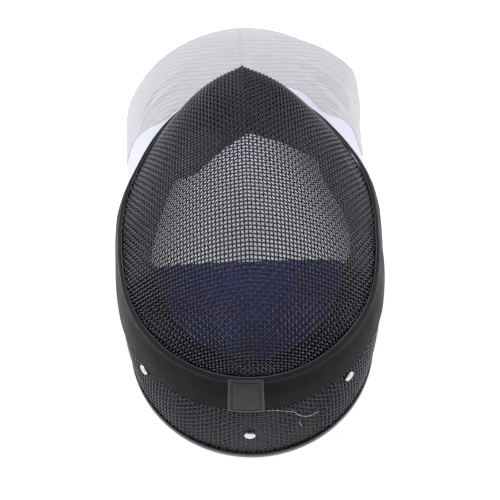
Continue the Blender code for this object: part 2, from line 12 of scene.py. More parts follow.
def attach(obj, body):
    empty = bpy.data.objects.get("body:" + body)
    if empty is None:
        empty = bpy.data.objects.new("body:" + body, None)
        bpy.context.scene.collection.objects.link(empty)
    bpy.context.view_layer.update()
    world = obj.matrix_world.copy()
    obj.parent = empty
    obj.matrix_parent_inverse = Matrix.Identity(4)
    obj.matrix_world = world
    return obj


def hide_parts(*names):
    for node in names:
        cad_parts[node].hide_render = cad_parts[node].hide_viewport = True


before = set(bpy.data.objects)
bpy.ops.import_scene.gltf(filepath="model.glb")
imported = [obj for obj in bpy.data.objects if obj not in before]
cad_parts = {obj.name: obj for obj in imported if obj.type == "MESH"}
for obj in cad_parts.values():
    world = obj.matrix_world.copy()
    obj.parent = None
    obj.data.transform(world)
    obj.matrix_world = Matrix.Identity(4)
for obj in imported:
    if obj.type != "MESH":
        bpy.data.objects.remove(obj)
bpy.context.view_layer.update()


def columns(names, *rows):
    """A table's columns as arrays, by name."""
    return dict(zip(names.split(), np.array(rows, float).T))


# Sizes are in metres. Tables count y from a point under the front's crown, and every
# finished piece is moved by MIDDLE_Y into the row frame.
MIDDLE_Y = 0.1321
HEART = np.array([0.0, 0.060, 0.070])
GAP = 0.0004
SHELL_THINNED = (0.45, 0.8)  # a shell's wall at its first and second columns, as shares
SHELL_ROUND = 0.32  # how far its upper and lower edges bulge, as a share of the wall

# Woven wire. The wires stand PITCH apart and are WIRE thick, and each cloth of them
# lies in the middle of a wall of WIRE_WALL
PITCH = 0.0031
WIRE = 0.00126
WIRE_SIDES = 5
CRIMP = 0.00095  # how far a wire swings to each side at its crossings
WALL_STRAIGHT_Y = -0.0330  # from here back the crown wall's upright wires straighten,
STRAIGHT_RUN = 0.010  # over this length,
STRAIGHTENED = 0.80  # by this share of their swing,
STRAIGHT_LIFT = 0.45  # and come to lie this share of it before the level wires
WIRE_WALL = 0.0020

# Front mesh
CROWN_RADIUS = 0.0930
CROWN_Y = 0.0447
CROWN_TURN = math.radians(80)
CROWN_END_Y = CROWN_Y - CROWN_RADIUS * math.cos(CROWN_TURN)
CROWN_START_Y = CROWN_Y - CROWN_RADIUS
CHIN_Y = 0.2045
TIP_Y = 0.2020
TOP_Y = 0.0600
TOP_Z = 0.1880
TIP_Z = 0.1400
CROWN_BOW = 1.85
FLANGE = 0.0070  # depth of its turned edge
FLANGE_SLOPE = 0.12
NET_CLOSE = 2e-6  # a net node is found when its two steps are this close to the pitch,
NET_MISS = 0.0002  # is given up when they miss it by this,
NET_GAP = 0.0004  # when it lies this far off the surface,
NET_FLAT = 0.12  # or when the steps run almost in line

PLAN = columns(
    "y half_width",
    (CROWN_END_Y, CROWN_RADIUS * math.sin(CROWN_TURN)),
    (0.037, 0.0929),
    (0.048, 0.0942),
    (0.060, 0.0949),
    (0.075, 0.0949),
    (0.094, 0.0930),
    (0.111, 0.0893),
    (0.131, 0.0820),
    (0.158, 0.0692),
    (0.182, 0.0512),
    (0.198, 0.0282),
    (0.2045, 0.0),
)
SECTIONS = columns(
    "y edge_z ridge_share bend",
    (-0.049, 0.115, 0.22, 2.2),
    (0.040, 0.114, 0.24, 2.2),
    (0.100, 0.109, 0.29, 2.2),
    (0.150, 0.105, 0.33, 2.8),
    (0.190, 0.102, 0.36, 4.5),
    (0.2045, 0.101, 0.36, 5.0),
)

# Trim band
BAND_WALL = 0.0018
BAND_BOW = 0.0006  # how far its face swells between its edges
BAND = columns(
    "y left_drop right_drop left_flare right_flare",
    (-0.0483, 0.0400, 0.0400, 0.0100, 0.0100),
    (-0.0400, 0.0435, 0.0392, 0.0099, 0.0100),
    (-0.0210, 0.0465, 0.0383, 0.0097, 0.0100),
    (0.0020, 0.0488, 0.0372, 0.0094, 0.0100),
    (0.0460, 0.0490, 0.0365, 0.0090, 0.0092),
    (0.0720, 0.0380, 0.0352, 0.0084, 0.0086),
    (0.0980, 0.0150, 0.0150, 0.0078, 0.0094),
    (0.1200, 0.0130, 0.0130, 0.0072, 0.0108),
    (0.1350, 0.0130, 0.0130, 0.0060, 0.0108),
    (0.1500, 0.0130, 0.0130, 0.0046, 0.0082),
    (0.2045, 0.0130, 0.0130, 0.0040, 0.0040),
)

# How far the band laps over the front mesh
LAP = columns(
    "y left right",
    (-0.0483, 0.0014, 0.0014),
    (-0.0380, 0.0012, 0.0018),
    (-0.0280, 0.0011, 0.0022),
    (-0.0142, 0.0014, 0.0028),
    (0.0025, 0.0011, 0.0015),
    (0.0300, 0.0011, 0.0011),
    (0.0500, 0.0014, 0.0010),
    (0.0800, 0.0010, 0.0008),
    (0.1000, 0.0006, 0.0006),
    (0.1200, 0.0005, 0.0012),
    (0.1350, 0.0005, 0.0018),
    (0.1500, 0.0005, 0.0020),
    (0.1650, 0.0005, 0.0008),
    (0.2045, 0.0006, 0.0006),
)

# The right cheek's edge stands out further than the left one's
CHEEK = columns(
    "y out",
    (-0.050, 0.0000),
    (0.060, 0.0000),
    (0.080, 0.0006),
    (0.100, 0.0018),
    (0.120, 0.0031),
    (0.132, 0.0037),
    (0.145, 0.0029),
    (0.165, 0.0012),
    (0.190, 0.0000),
    (0.2045, 0.0000),
)
CHEEK_RISE = 0.045  # the fullness fades out over this height above the edge
CHEEK_FALL = 0.013  # and over this depth below it

# Crown wall and rim
RIM_RADIUS = 0.0968
RIM_Y = 0.0291
RIM_TAPER = 0.020
WALL_END_Y = 0.0950
WALL_BULGE = 0.0018
WALL_SINK = 0.0006  # the wall begins this far inside the front's edge
WALL_SLACK = 0.0002  # and keeps this far from the band, beyond the gap
WALL_TOP = 0.1000
RIM_BASE = 0.0022
RIM_LIP = 0.0012
RIM_HEIGHT = 0.0044
TAPE_WALL = 0.0009

# Bib
BIB_HALF_WIDTH = 0.0982
HEM_Y = 0.2300
BIB_START_Y = WALL_END_Y + 0.0010
HEM = columns(
    "degrees left right",
    (0, 0.0993, 0.0983),
    (15, 0.0999, 0.1028),
    (30, 0.0990, 0.1089),
    (45, 0.0989, 0.1046),
    (60, 0.0986, 0.1000),
    (75, 0.0989, 0.0996),
    (90, 0.0998, 0.0998),
)
BIB_SIDE_SHARE = 0.40
BIB_WALL = 0.0020
BIB_BULGE = 0.0070
BIB_TURN = 0.0013
HEM_LIFT = 0.0024
HEM_SIDE_LIFT = 0.0005
LAME_START = columns(
    "along left right",
    (0.30, 0.88, 0.56),
    (0.34, 0.64, 0.46),
    (0.38, 0.53, 0.46),
    (0.435, 0.37, 0.38),
    (0.50, 0.25, 0.27),
    (0.56, 0.15, 0.16),
    (0.61, 0.12, 0.12),
    (0.69, 0.11, 0.16),
    (0.75, 0.10, 0.18),
    (0.82, 0.10, 0.17),
    (1.00, 0.12, 0.13),
)
LAME_OUT = 0.0012
HEM_SEAM = 0.0052  # from the bib's hem to its seam
LAME_HEM_SEAM = 0.0050  # the same on the silver cloth
BIB_RUN = 0.155  # length of half the bib, for its centre seam
LAME_WALL = 0.0009
# Sewn rows of the silver cloth: they run level across it and droop at the sides
ROW_PITCH = 0.0076  # between rows, on the cloth
ROW_RISE = 0.00415  # between the slanting planes that they lie in
ROW_TOP = 0.2838  # level of the first row's plane
ROW_TILT = (0.891, 0.454)  # of y and z in a plane's level
ROW_DROOP = columns(
    "x left right",
    (0.000, 0.0000, 0.0000),
    (0.046, 0.0000, 0.0000),
    (0.058, 0.0015, 0.0000),
    (0.066, 0.0045, 0.0004),
    (0.074, 0.0090, 0.0042),
    (0.082, 0.0165, 0.0100),
    (0.088, 0.0240, 0.0165),
    (0.094, 0.0335, 0.0260),
    (0.100, 0.0470, 0.0420),
)
# Creases of the bib: place along and down, on which side, their length and width as
# shares, their turn, and their height
CREASES = (
    (0.70, 0.34, 1, 0.10, 0.030, 35, 0.0016),
    (0.63, 0.42, 1, 0.09, 0.028, 15, -0.0014),
    (0.58, 0.30, 1, 0.09, 0.024, -30, 0.0012),
    (0.76, 0.45, 1, 0.08, 0.026, 60, -0.0010),
    (0.66, 0.55, 1, 0.12, 0.030, 5, 0.0010),
    (0.52, 0.52, 1, 0.08, 0.030, 75, 0.0012),
    (0.62, 0.40, -1, 0.11, 0.030, -20, 0.0013),
    (0.55, 0.48, -1, 0.10, 0.026, 10, -0.0012),
    (0.70, 0.52, -1, 0.12, 0.032, -8, 0.0009),
    (0.48, 0.40, -1, 0.08, 0.030, 50, 0.0010),
    (0.86, 0.60, -1, 0.12, 0.040, 4, 0.0008),
    (0.88, 0.50, 1, 0.12, 0.040, -6, 0.0008),
    (0.70, 0.39, 1, 0.075, 0.014, -57, -0.0014),
    (0.68, 0.31, -1, 0.055, 0.015, -57, -0.0010),
)

# Linings, pad and tongue
LINING_WALL = 0.0030
PADDING_WALL = LINING_WALL - 0.0012  # before it swells
LINING_Z = 0.0600
LINING_TOP = 0.0040
LINING_INSET = 0.0024
LINING_START_Y = 0.0340
LINING_RISE_Y = 0.1860
LINING_RISE_BACK = 0.0060
LINING_DEPTH = 0.0038
LINING = columns(
    "y left_x left_y right_x right_y",
    (0.030, 0.067, 0.045, 0.071, 0.045),
    (0.058, 0.068, 0.062, 0.072, 0.062),
    (0.067, 0.073, 0.069, 0.077, 0.069),
    (0.075, 0.078, 0.075, 0.081, 0.075),
    (0.098, 0.074, 0.100, 0.081, 0.098),
    (0.115, 0.070, 0.114, 0.077, 0.114),
    (0.131, 0.065, 0.131, 0.069, 0.130),
    (0.145, 0.061, 0.141, 0.064, 0.143),
    (0.158, 0.057, 0.148, 0.061, 0.155),
    (0.170, 0.050, 0.150, 0.060, 0.161),
    (0.182, 0.041, 0.153, 0.048, 0.169),
    (0.190, 0.029, 0.165, 0.036, 0.177),
    (0.198, 0.014, 0.178, 0.018, 0.185),
    (0.2045, -0.003, 0.190, 0.003, 0.190),
)
CROWN_LINING_END_Y = 0.0325
CROWN_LINING_BASE = 0.0012
SHELF_Z = 0.1050
PAD_RADIUS = 0.0680
PAD_Y = 0.0325
PAD_EDGE_Z = 0.1190
PAD_SIDE_Z = 0.1380
PAD_TOP_Z = 0.1475
PAD_BOW = 0.0032
PAD_WALL = 0.0070
PAD_LAP = 0.0040
TONGUE = columns(
    "y z half_width",
    (-0.0515, 0.0540, 0.0160),
    (-0.0541, 0.0330, 0.0190),
    (-0.0541, 0.0200, 0.0200),
    (-0.0430, 0.0110, 0.0220),
    (-0.0100, 0.0120, 0.0240),
    (0.0300, 0.0180, 0.0290),
    (0.0600, 0.0235, 0.0320),
    (0.0750, 0.0260, 0.0300),
    (0.0830, 0.0270, 0.0190),
)
TONGUE_WALL = 0.0030
TONGUE_SEAM = 0.0035  # from its edge to its seam

# Patch and rivets
PATCH_WIDTH = 0.0243
PATCH_TURN = -3.5
PATCH_WALL = 0.0014
PATCH_TOP = -0.035  # its ends, as shares of the band's drop
PATCH_FOOT = 0.985
PATCH_LENGTH = 0.0400  # over which its finish draws its lines
PATCH_GROOVE = 0.0027  # from its edge to its pressed line
PATCH_HALF = math.degrees(PATCH_WIDTH / 2 / CROWN_RADIUS)
THREAD_RADIUS = 0.00022
RIVET_SEAT = 0.0006
# Name, degrees round the crown and height of each rivet
RIVETS = (
    ("rivet_left", -54.0, 0.0583),
    ("rivet_centre", -2.3, 0.0380),
    ("rivet_right", 44.2, 0.0640),
)

# Padded pieces: how far Blender's cloth simulation may move each, and how it blows them up
CHEEK_SWELL = 0.0011
CROWN_SWELL = 0.0008
PAD_SWELL = 0.0013
SWELL_PRESSURE = 4.0
SWELL_FRAMES = 18

# Studio
FLOOR_Z = -0.0002
FLOOR_HALF = 4.0
FLOOR_GLOW = 0.54
# The floor's glow is turned down under the mask's middle: a painted shadow.
PAINTED_SHADOW_GLOW = 0.30  # under the mask's middle
SHADED_HALF_WIDTH = 0.098
SHADED_HALF_LENGTH = 0.195
WORLD_LIGHT = 0.13
# Each softbox: its place, what it aims at, its size and its power
SOFTBOXES = {
    "left": ((-1.3, 0.1, 0.80), (0, 0, 0.08), (0.8, 0.7), 11.2),
    "right": ((1.3, 0.1, 0.80), (0, 0, 0.08), (0.8, 0.7), 9.4),
    "back": ((0.0, 1.3, 1.2), (0, 0.1, 0.05), (1.2, 0.8), 9.8),
    "front": ((0.0, -0.46, 1.5), (0, -0.05, 0.08), (0.6, 0.5), 5.4),
}

# Camera: above the crown's side, looking down the front
CAMERA_PLACE = (-0.00424, -0.52598, 1.25380)
CAMERA_TURN = math.radians(0.5)
CAMERA_DOWN = math.radians(63.0)
CAMERA_ROLL = math.radians(1.65)
LENS = 123.19


# Curves through tables, and small helpers


def smooth(x, knots, values):
    """A monotone cubic curve through the knots."""
    x = np.clip(np.asarray(x, float), knots[0], knots[-1])
    step = np.diff(knots)
    slope = np.diff(values) / step
    tangent = np.zeros(len(knots))
    tangent[0] = slope[0]
    tangent[-1] = slope[-1]
    for i in range(1, len(knots) - 1):
        if slope[i - 1] * slope[i] > 0:
            before = 2 * step[i] + step[i - 1]
            after = step[i] + 2 * step[i - 1]
            tangent[i] = (before + after) / (before / slope[i - 1] + after / slope[i])
    i = np.clip(np.searchsorted(knots, x, side="right") - 1, 0, len(step) - 1)
    t = (x - knots[i]) / step[i]
    rise = values[i + 1] - values[i]
    bend = t * (1 - t) * ((1 - t) * (tangent[i] * step[i] - rise) - t * (tangent[i + 1] * step[i] - rise))
    return values[i] + t * rise + bend


def read(table, name, x, key="y"):
    return smooth(x, table[key], table[name])


def by_side(table, name, x, side, key="y"):
    """A column pair's value for the side that each x is on."""
    left, right = (read(table, name.format(way), x, key) for way in ("left", "right"))
    return np.where(np.asarray(side) < 0, left, right)


def unit(vectors):
    size = np.linalg.norm(vectors, axis=-1, keepdims=True)
    return vectors / np.where(size < 1e-12, 1, size)


def run_of(points, axis=0):
    """Distance along a line of points, or along one axis of a grid as the other's mean."""
    steps = np.linalg.norm(np.diff(points, axis=axis), axis=-1)
    if steps.ndim > 1:
        steps = steps.mean(axis=1 - axis)
    return np.concatenate([[0], np.cumsum(steps)])


def peak(away, width):
    """A smooth peak of height one where away is 0."""
    return np.exp(-((away / width) ** 2))


def ramp_up(value, start, stop):
    """A value's share of the way from start to stop, held between 0 and 1."""
    return np.clip((value - start) / (stop - start), 0, 1)


# The surfaces that the pieces follow, for arrays of stations


def edge_half_width(y):
    y = np.asarray(y, float)
    arc = np.sqrt(np.maximum(CROWN_RADIUS**2 - (CROWN_Y - y) ** 2, 0.0))
    return np.where(y < CROWN_END_Y, arc, read(PLAN, "half_width", y))


def edge_height(y):
    return read(SECTIONS, "edge_z", y)


def edge_normal(y):
    y = np.asarray(y, float)
    step = 0.0008
    low = y - step
    high = np.minimum(y + step, CHIN_Y)
    run = edge_half_width(high) - edge_half_width(low)
    size = np.hypot(high - low, run)
    tip = y > CHIN_Y - 0.0001
    arc = y < CROWN_END_Y
    nx = np.where(arc, edge_half_width(y) / CROWN_RADIUS, np.where(tip, 0.0, (high - low) / size))
    ny = np.where(arc, (y - CROWN_Y) / CROWN_RADIUS, np.where(tip, 1.0, -run / size))
    return nx, ny


def off_edge(y, out, z, side):
    nx, ny = edge_normal(y)
    parts = (side * (edge_half_width(y) + out * nx), y + out * ny, z)
    return np.stack(np.broadcast_arrays(*parts), -1)


def ridge_height(y):
    y = np.asarray(y, float)
    run = np.clip((TOP_Y - y) / (TOP_Y - CROWN_START_Y), 0.0, 1.0)
    foot = edge_height(CROWN_START_Y)
    crown = foot + (TOP_Z - foot) * (1 - run**CROWN_BOW) ** (1 / CROWN_BOW)
    chin = TOP_Z - (TOP_Z - TIP_Z) * ((y - TOP_Y) / (TIP_Y - TOP_Y)) ** 2
    run = np.clip((y - TIP_Y) / (CHIN_Y - TIP_Y), 0.0, 1.0)
    foot = edge_height(CHIN_Y)
    tip = foot + (TIP_Z - foot) * np.sqrt(1 - run**2)
    return np.where(y < TOP_Y, crown, np.where(y < TIP_Y, chin, tip))


def front_point(y, across):
    share = read(SECTIONS, "ridge_share", y)
    bend = read(SECTIONS, "bend", y)
    foot = edge_height(y)
    drop = share * np.abs(across) + (1 - share) * np.abs(across) ** bend
    z = foot + (ridge_height(y) - foot) * (1 - drop)
    return np.stack(np.broadcast_arrays(edge_half_width(y) * across, y, z), -1)


def band_drop(y, side):
    return by_side(BAND, "{}_drop", y, side)


def band_flare(y, side):
    return by_side(BAND, "{}_flare", y, side)


def band_out(y, down, side):
    top = GAP + BAND_WALL
    return top + (band_flare(y, side) - top) * down + BAND_BOW * np.sin(math.pi * down)


def band_point(y, down, side, above=0.0):
    z = edge_height(y) - band_drop(y, side) * down
    return off_edge(y, band_out(y, down, side) + above, z, side)


def rim_out(y):
    nx, ny = edge_normal(y)
    x = edge_half_width(y)
    along = x * nx + (y - RIM_Y) * ny
    out = np.sqrt(along**2 + RIM_RADIUS**2 - x**2 - (y - RIM_Y) ** 2) - along
    straight = (RIM_RADIUS - RIM_TAPER * (y - RIM_Y) - x) / np.where(nx == 0, 1, nx)
    return np.where(y + out * ny < RIM_Y, out, straight)


def wall_point(y, z, side, above=0.0):
    top = edge_height(y)
    knee = top - band_drop(y, side)
    low = rim_out(y) - RIM_LIP - GAP
    high = band_flare(y, side) - BAND_WALL - GAP - WALL_SLACK
    behind = -WALL_SINK + (high + WALL_SINK) * (top - z) / (top - knee)
    share = np.clip((knee - z) / (knee - RIM_HEIGHT - GAP), 0.0, 1.0)
    below = high + (low - high) * share + WALL_BULGE * np.sin(math.pi * share)
    return off_edge(y, np.where(z > knee, behind, below) + above, z, side)


def crown_stations(count):
    """Places along the ridge from the crown's edge to the top, close where it is steep."""
    turn = np.linspace(0, math.pi / 2, count)
    return TOP_Y - (TOP_Y - CROWN_START_Y) * np.cos(turn) ** (2 / CROWN_BOW)


def chin_stations(first, count):
    """Places from just after y first to the chin, close at the chin."""
    return first + (CHIN_Y - first) * np.sin(np.linspace(0, math.pi / 2, count))[1:]


def even_edge(first, last, step):
    """Stations at even steps along one side of the edge, and their run, from y first to y last."""
    arc = CROWN_Y - CROWN_RADIUS * np.cos(np.linspace(0, CROWN_TURN, 400))
    fine = np.concatenate([arc, chin_stations(CROWN_END_Y, 600)])
    run = run_of(np.stack([fine, edge_half_width(fine)], -1))
    start, stop = np.interp([first, last], fine, run)
    at = np.linspace(start, stop, max(int(round((stop - start) / step)), 1) + 1)
    return np.interp(at, run, fine), at - start


def open_ring(last_y, step):
    """Stations from the left side round the crown to the right side, and their run."""
    y, run = even_edge(CROWN_START_Y, last_y, step)
    ys = np.concatenate([y[:0:-1], y])
    side = np.concatenate([-np.ones(len(y) - 1), np.ones(len(y))])
    return ys, side, np.concatenate([-run[:0:-1], run])


def closed_ring(step):
    """Stations round the whole edge, from the crown centre by the right side."""
    y, run = even_edge(CROWN_START_Y, CHIN_Y, step)
    ys = np.concatenate([y, y[-2:0:-1]])
    side = np.concatenate([np.ones(len(y)), -np.ones(len(y) - 2)])
    return ys, side, np.concatenate([run, 2 * run[-1] - run[-2:0:-1]]), 2 * run[-1]


BIB_EDGE, _ = even_edge(BIB_START_Y, CHIN_Y, 0.001)


def edge_y_of(along):
    return np.interp(along, np.linspace(0, 1, len(BIB_EDGE)), BIB_EDGE)


def hem_point(along, side):
    degrees = 90 * np.clip(along - BIB_SIDE_SHARE, 0, 1) / (1 - BIB_SIDE_SHARE)
    radius = by_side(HEM, "{}", degrees, side, "degrees")
    turn = np.radians(degrees)
    lift = HEM_SIDE_LIFT + (HEM_LIFT - HEM_SIDE_LIFT) * np.sin(turn)
    straight = along < BIB_SIDE_SHARE
    share = along / BIB_SIDE_SHARE
    side_x = BIB_HALF_WIDTH + (radius - BIB_HALF_WIDTH) * share**2
    x = np.where(straight, side_x, radius * np.cos(turn))
    side_y = BIB_START_Y + (HEM_Y - BIB_START_Y) * share
    y = np.where(straight, side_y, HEM_Y + radius * np.sin(turn))
    z = np.where(straight, HEM_SIDE_LIFT, lift)
    return np.stack([side * x, y, z], -1)


def bib_top(along, side, rise):
    y = edge_y_of(along)
    drop = band_drop(y, side)
    inner = band_out(y, np.minimum(1 - rise / drop, 1.0), side) - BAND_WALL - GAP - 0.0010
    return off_edge(y, inner, edge_height(y) - drop + rise, side)


def crease_height(along, down, side):
    """Height of the bib's soft creases."""
    total = np.zeros(np.broadcast(along, down, side).shape)
    for a, d, s, length, width, turn, height in CREASES:
        c, n = math.cos(math.radians(turn)), math.sin(math.radians(turn))
        u = (along - a) * c + (down - d) * n
        v = -(along - a) * n + (down - d) * c
        shape = height * peak(u, length) * peak(v - 1.5 * u * u, width)
        total = total + np.where(side == s, shape, 0.0)
    return total


def bib_length(along, side):
    return np.linalg.norm(bib_top(along, side, -BIB_TURN) - hem_point(along, side), axis=-1)


def bib_point(along, down, side, out=0.0):
    nx, ny = edge_normal(edge_y_of(along))
    up = np.broadcast_to(0.35, nx.shape)
    outward = unit(np.stack([side * nx, ny, up], -1))
    swell = BIB_BULGE * 4 * down * (1 - down) * (0.35 + 0.65 * along)
    soft = crease_height(along, down, side) * np.clip(down * 6, 0, 1) * np.clip((1 - down) * 8, 0, 1)
    top = bib_top(along, side, -BIB_TURN)
    hem = hem_point(along, side)
    share = np.asarray(down)[..., None]
    return top * (1 - share) + hem * share + outward * np.asarray(swell + soft + out)[..., None]


def pad_edge_point(turn, inset=0.0):
    radius = PAD_RADIUS - inset
    z = PAD_EDGE_Z + (PAD_SIDE_Z - PAD_EDGE_Z) * np.sin(turn) ** 2
    return np.stack([radius * np.sin(turn), PAD_Y - radius * np.cos(turn), z], -1)


def crown_place(degrees):
    turn = np.radians(degrees)
    return CROWN_Y - CROWN_RADIUS * np.cos(turn), np.where(np.asarray(degrees) < 0, -1.0, 1.0)


# Meshes


def link(name, data):
    made = bpy.data.objects.new(name, data)
    bpy.context.scene.collection.objects.link(made)
    return made


def new_object(name, verts, faces, finish, uv=None):
    """A smooth object in the row frame from points of the table frame."""
    verts = np.asarray(verts, float) - [0.0, MIDDLE_Y, 0.0]
    mesh = bpy.data.meshes.new(name)
    mesh.from_pydata(verts.tolist(), [], faces)
    if uv is not None:
        layer = mesh.uv_layers.new(name="cloth")
        layer.data.foreach_set("uv", np.asarray(uv, np.float32).ravel())
    mesh.materials.append(finish)
    mesh.shade_smooth()
    return link(name, mesh)


def face_out(obj):
    """Turns the faces of a closed mesh outward."""
    form = bmesh.new()
    form.from_mesh(obj.data)
    if form.calc_volume(signed=True) < 0:
        bmesh.ops.reverse_faces(form, faces=form.faces)
        form.to_mesh(obj.data)
    form.free()
    return obj


def grid_normals(grid, closed=False):
    """Unit normals of a grid of points, facing away from the mask's hollow."""
    if closed:
        along = np.roll(grid, -1, axis=1) - np.roll(grid, 1, axis=1)
    else:
        along = np.gradient(grid, axis=1)
    normal = unit(np.cross(along, np.gradient(grid, axis=0)))
    return -normal if np.sum(normal * (grid - HEART)) < 0 else normal


def quads(rows, cols, closed_rows=False, closed_cols=True):
    """Faces between the points of a grid that is numbered row by row."""
    r = np.arange(rows if closed_rows else rows - 1)[:, None]
    c = np.arange(cols if closed_cols else cols - 1)[None]
    r2, c2 = (r + 1) % rows, (c + 1) % cols
    return np.stack([r * cols + c, r * cols + c2, r2 * cols + c2, r2 * cols + c], -1).reshape(-1, 4)


def loop_faces(u, v, closed=False):
    """Faces between closed loops of points, and their texture places.

    u holds each loop's place along, and v the points' places round it, first one again last.
    """
    cols, count = v.shape[0], v.shape[1] - 1
    faces = quads(cols, count, closed)
    c = faces[:, :1] // count + [0, 0, 1, 1]
    k = faces[:, :1] % count + [0, 1, 1, 0]
    return faces.tolist(), np.stack([u[c], v[c % cols, k]], -1).reshape(-1, 2).tolist()


def shell(name, outer, wall, finish, closed=False, run=None, total=None, fall=None):
    """A closed wall under a grid of outer points, with rounded edges.

    Rows go down and columns go along. run holds each column's place along, in metres, total
    the way round a closed one, and fall each outer point's place down.
    """
    rows, cols = outer.shape[:2]
    wall = np.broadcast_to(np.asarray(wall, float), (rows, cols)).copy()
    if not closed:
        for k, share in enumerate(SHELL_THINNED):
            wall[:, [k, cols - 1 - k]] *= share
    inner = outer - grid_normals(outer, closed) * wall[..., None]
    edges = []
    for end, before in ((0, 1), (-1, -2)):
        lip = SHELL_ROUND * wall[end][:, None] * unit(outer[end] - outer[before])
        edges.append((0.5 * (outer[end] + inner[end]) + lip)[None])
    loop = np.concatenate([outer, edges[1], inner[::-1], edges[0]], 0)
    count = loop.shape[0]
    if run is None:
        run = run_of(outer, 1)
    if fall is None:
        fall = np.broadcast_to(run_of(outer)[:, None], (rows, cols))
    u = np.append(run, run[-1] if total is None else total)
    v = np.concatenate([fall, fall[-1:] + 0.001, fall[::-1], fall[:1] - 0.001, fall[:1]]).T
    faces, uv = loop_faces(u, v, closed)
    for c, way in () if closed else ((0, -1), (cols - 1, 1)):
        a, b = c * count, c * count + 2 * rows
        for k in range(rows - 1):
            faces.append([a + k, a + k + 1, b - k - 1, b - k][::way])
            uv += [(u[c], v[c, k + step]) for step in (0, 1, 1, 0)][::way]
        for face in ([a + rows - 1, a + rows, a + rows + 1], [b, b + 1, a]):
            faces.append(face[::way])
            uv += [(u[c], 0.0)] * 3
    return face_out(new_object(name, loop.transpose(1, 0, 2).reshape(-1, 3), faces, finish, uv))


def tubes(name, lines, radius, sides, finish):
    """Round wires along lines of points and the ways they face, as one object."""
    verts, faces, base = [], [], 0
    turn = 2 * math.pi * (np.arange(sides) + 0.25) / sides
    cos, sin = np.cos(turn)[:, None], np.sin(turn)[:, None]
    for points, facing in lines:
        along = unit(np.gradient(points, axis=0))
        across = unit(np.cross(along, facing))
        ring = cos * np.cross(across, along)[:, None] + sin * across[:, None]
        verts.append((points[:, None] + radius * ring).reshape(-1, 3))
        faces += (quads(len(points), sides) + base).tolist()
        last = base + (len(points) - 1) * sides
        faces += [list(range(base + sides - 1, base - 1, -1)), list(range(last, last + sides))]
        base = last + sides
    return new_object(name, np.concatenate(verts), faces, finish)


def woven_wire(nodes, normals, over):
    """A wire through net nodes that goes over and under the wires that it crosses."""
    nodes, normals, over = (np.asarray(given) for given in (nodes, normals, over))
    wide = np.concatenate([[2 * nodes[0] - nodes[1]], nodes, [2 * nodes[-1] - nodes[-2]]])
    points = np.empty((2 * len(nodes) - 1, 3))
    points[0::2] = nodes + normals * (over * CRIMP)[:, None]
    points[1::2] = (9 * (wide[1:-2] + wide[2:-1]) - wide[:-3] - wide[3:]) / 16
    facing = np.empty_like(points)
    facing[0::2] = normals
    facing[1::2] = 0.5 * (normals[1:] + normals[:-1])
    return points, facing


def wire_cloth(name, lines, finish):
    return tubes(name, [woven_wire(*line) for line in lines], WIRE / 2, WIRE_SIDES, finish)


# Finishes


class Finish:
    """A Principled material that is built up from texture nodes."""

    def __init__(self, name, roughness=0.5, metallic=0.0, specular=0.5):
        self.material = bpy.data.materials.new(name)
        self.material.use_nodes = True
        self.nodes = self.material.node_tree.nodes
        self.links = self.material.node_tree.links
        self.shader = self.nodes["Principled BSDF"]
        self.place = self.nodes.new("ShaderNodeTexCoord").outputs
        self.height = None
        self.set({"Roughness": roughness, "Metallic": metallic, "Specular IOR Level": specular})

    def feed(self, node, values):
        """Links sources to a node's sockets, or sets the sockets' values."""
        for socket, value in values.items():
            if isinstance(value, bpy.types.NodeSocket):
                self.links.new(value, node.inputs[socket])
            else:
                node.inputs[socket].default_value = value

    def set(self, values):
        self.feed(self.shader, values)

    def add(self, kind, result, values, **settings):
        """The named output of a new node."""
        node = self.nodes.new("ShaderNode" + kind)
        for name, value in settings.items():
            setattr(node, name, value)
        self.feed(node, values)
        return node.outputs[result]

    def scaled(self, kind, *scale):
        return self.add("Mapping", "Vector", {"Scale": scale, "Vector": self.place[kind]})

    def noise(self, scale, detail=3.0, rough=0.5, vector=None):
        vector = vector or self.place["Object"]
        values = {"Scale": scale, "Detail": detail, "Roughness": rough, "Vector": vector}
        return self.add("TexNoise", "Fac", values)

    def cells(self, scale):
        return self.add("TexVoronoi", "Distance", {"Scale": scale, "Vector": self.place["Object"]})

    def wave(self, pitch, direction, bend=0.0):
        """Bands of threads at a pitch in metres, along or across a sheet."""
        values = {"Scale": math.pi / 10 / pitch, "Distortion": bend, "Detail": 1.0}
        values["Vector"] = self.place["UV"]
        return self.add("TexWave", "Fac", values, bands_direction=direction)

    def maths(self, how, a, b=0.0):
        return self.add("Math", "Value", {0: a, 1: b}, operation=how)

    def spread(self, source, low, high, start=0.3, stop=0.7):
        """A source's range from start to stop, turned into the range from low to high."""
        values = {"Value": source, "From Min": start, "From Max": stop, "To Min": low, "To Max": high}
        return self.add("MapRange", "Result", values)

    def ramp(self, source, *stops):
        node = self.nodes.new("ShaderNodeValToRGB")
        elements = node.color_ramp.elements
        while len(elements) < len(stops):
            elements.new(0.5)
        for element, (place, colour) in zip(elements, stops):
            element.position = place
            element.color = (*colour, 1.0)
        self.feed(node, {"Fac": source})
        return node.outputs["Color"]

    def blend(self, share, a, b, how="MIX"):
        b = (*b, 1.0) if isinstance(b, tuple) else b
        values = {"Factor": share, "A": a, "B": b}
        return self.add("Mix", "Result", values, data_type="RGBA", blend_type=how)

    def uv_parts(self):
        """Places along and down a sheet, in metres."""
        along = self.add("SeparateXYZ", "X", {"Vector": self.place["UV"]})
        return along, along.node.outputs["Y"]

    def bump(self, source, depth, strength=1.0):
        """Adds relief of a depth in metres."""
        values = {"Strength": strength, "Distance": depth, "Height": source}
        if self.height is not None:
            values["Normal"] = self.height
        self.height = self.add("Bump", "Normal", values)
        self.set({"Normal": self.height})

    def sheen(self, weight, roughness=0.5):
        self.set({"Sheen Weight": weight, "Sheen Roughness": roughness})


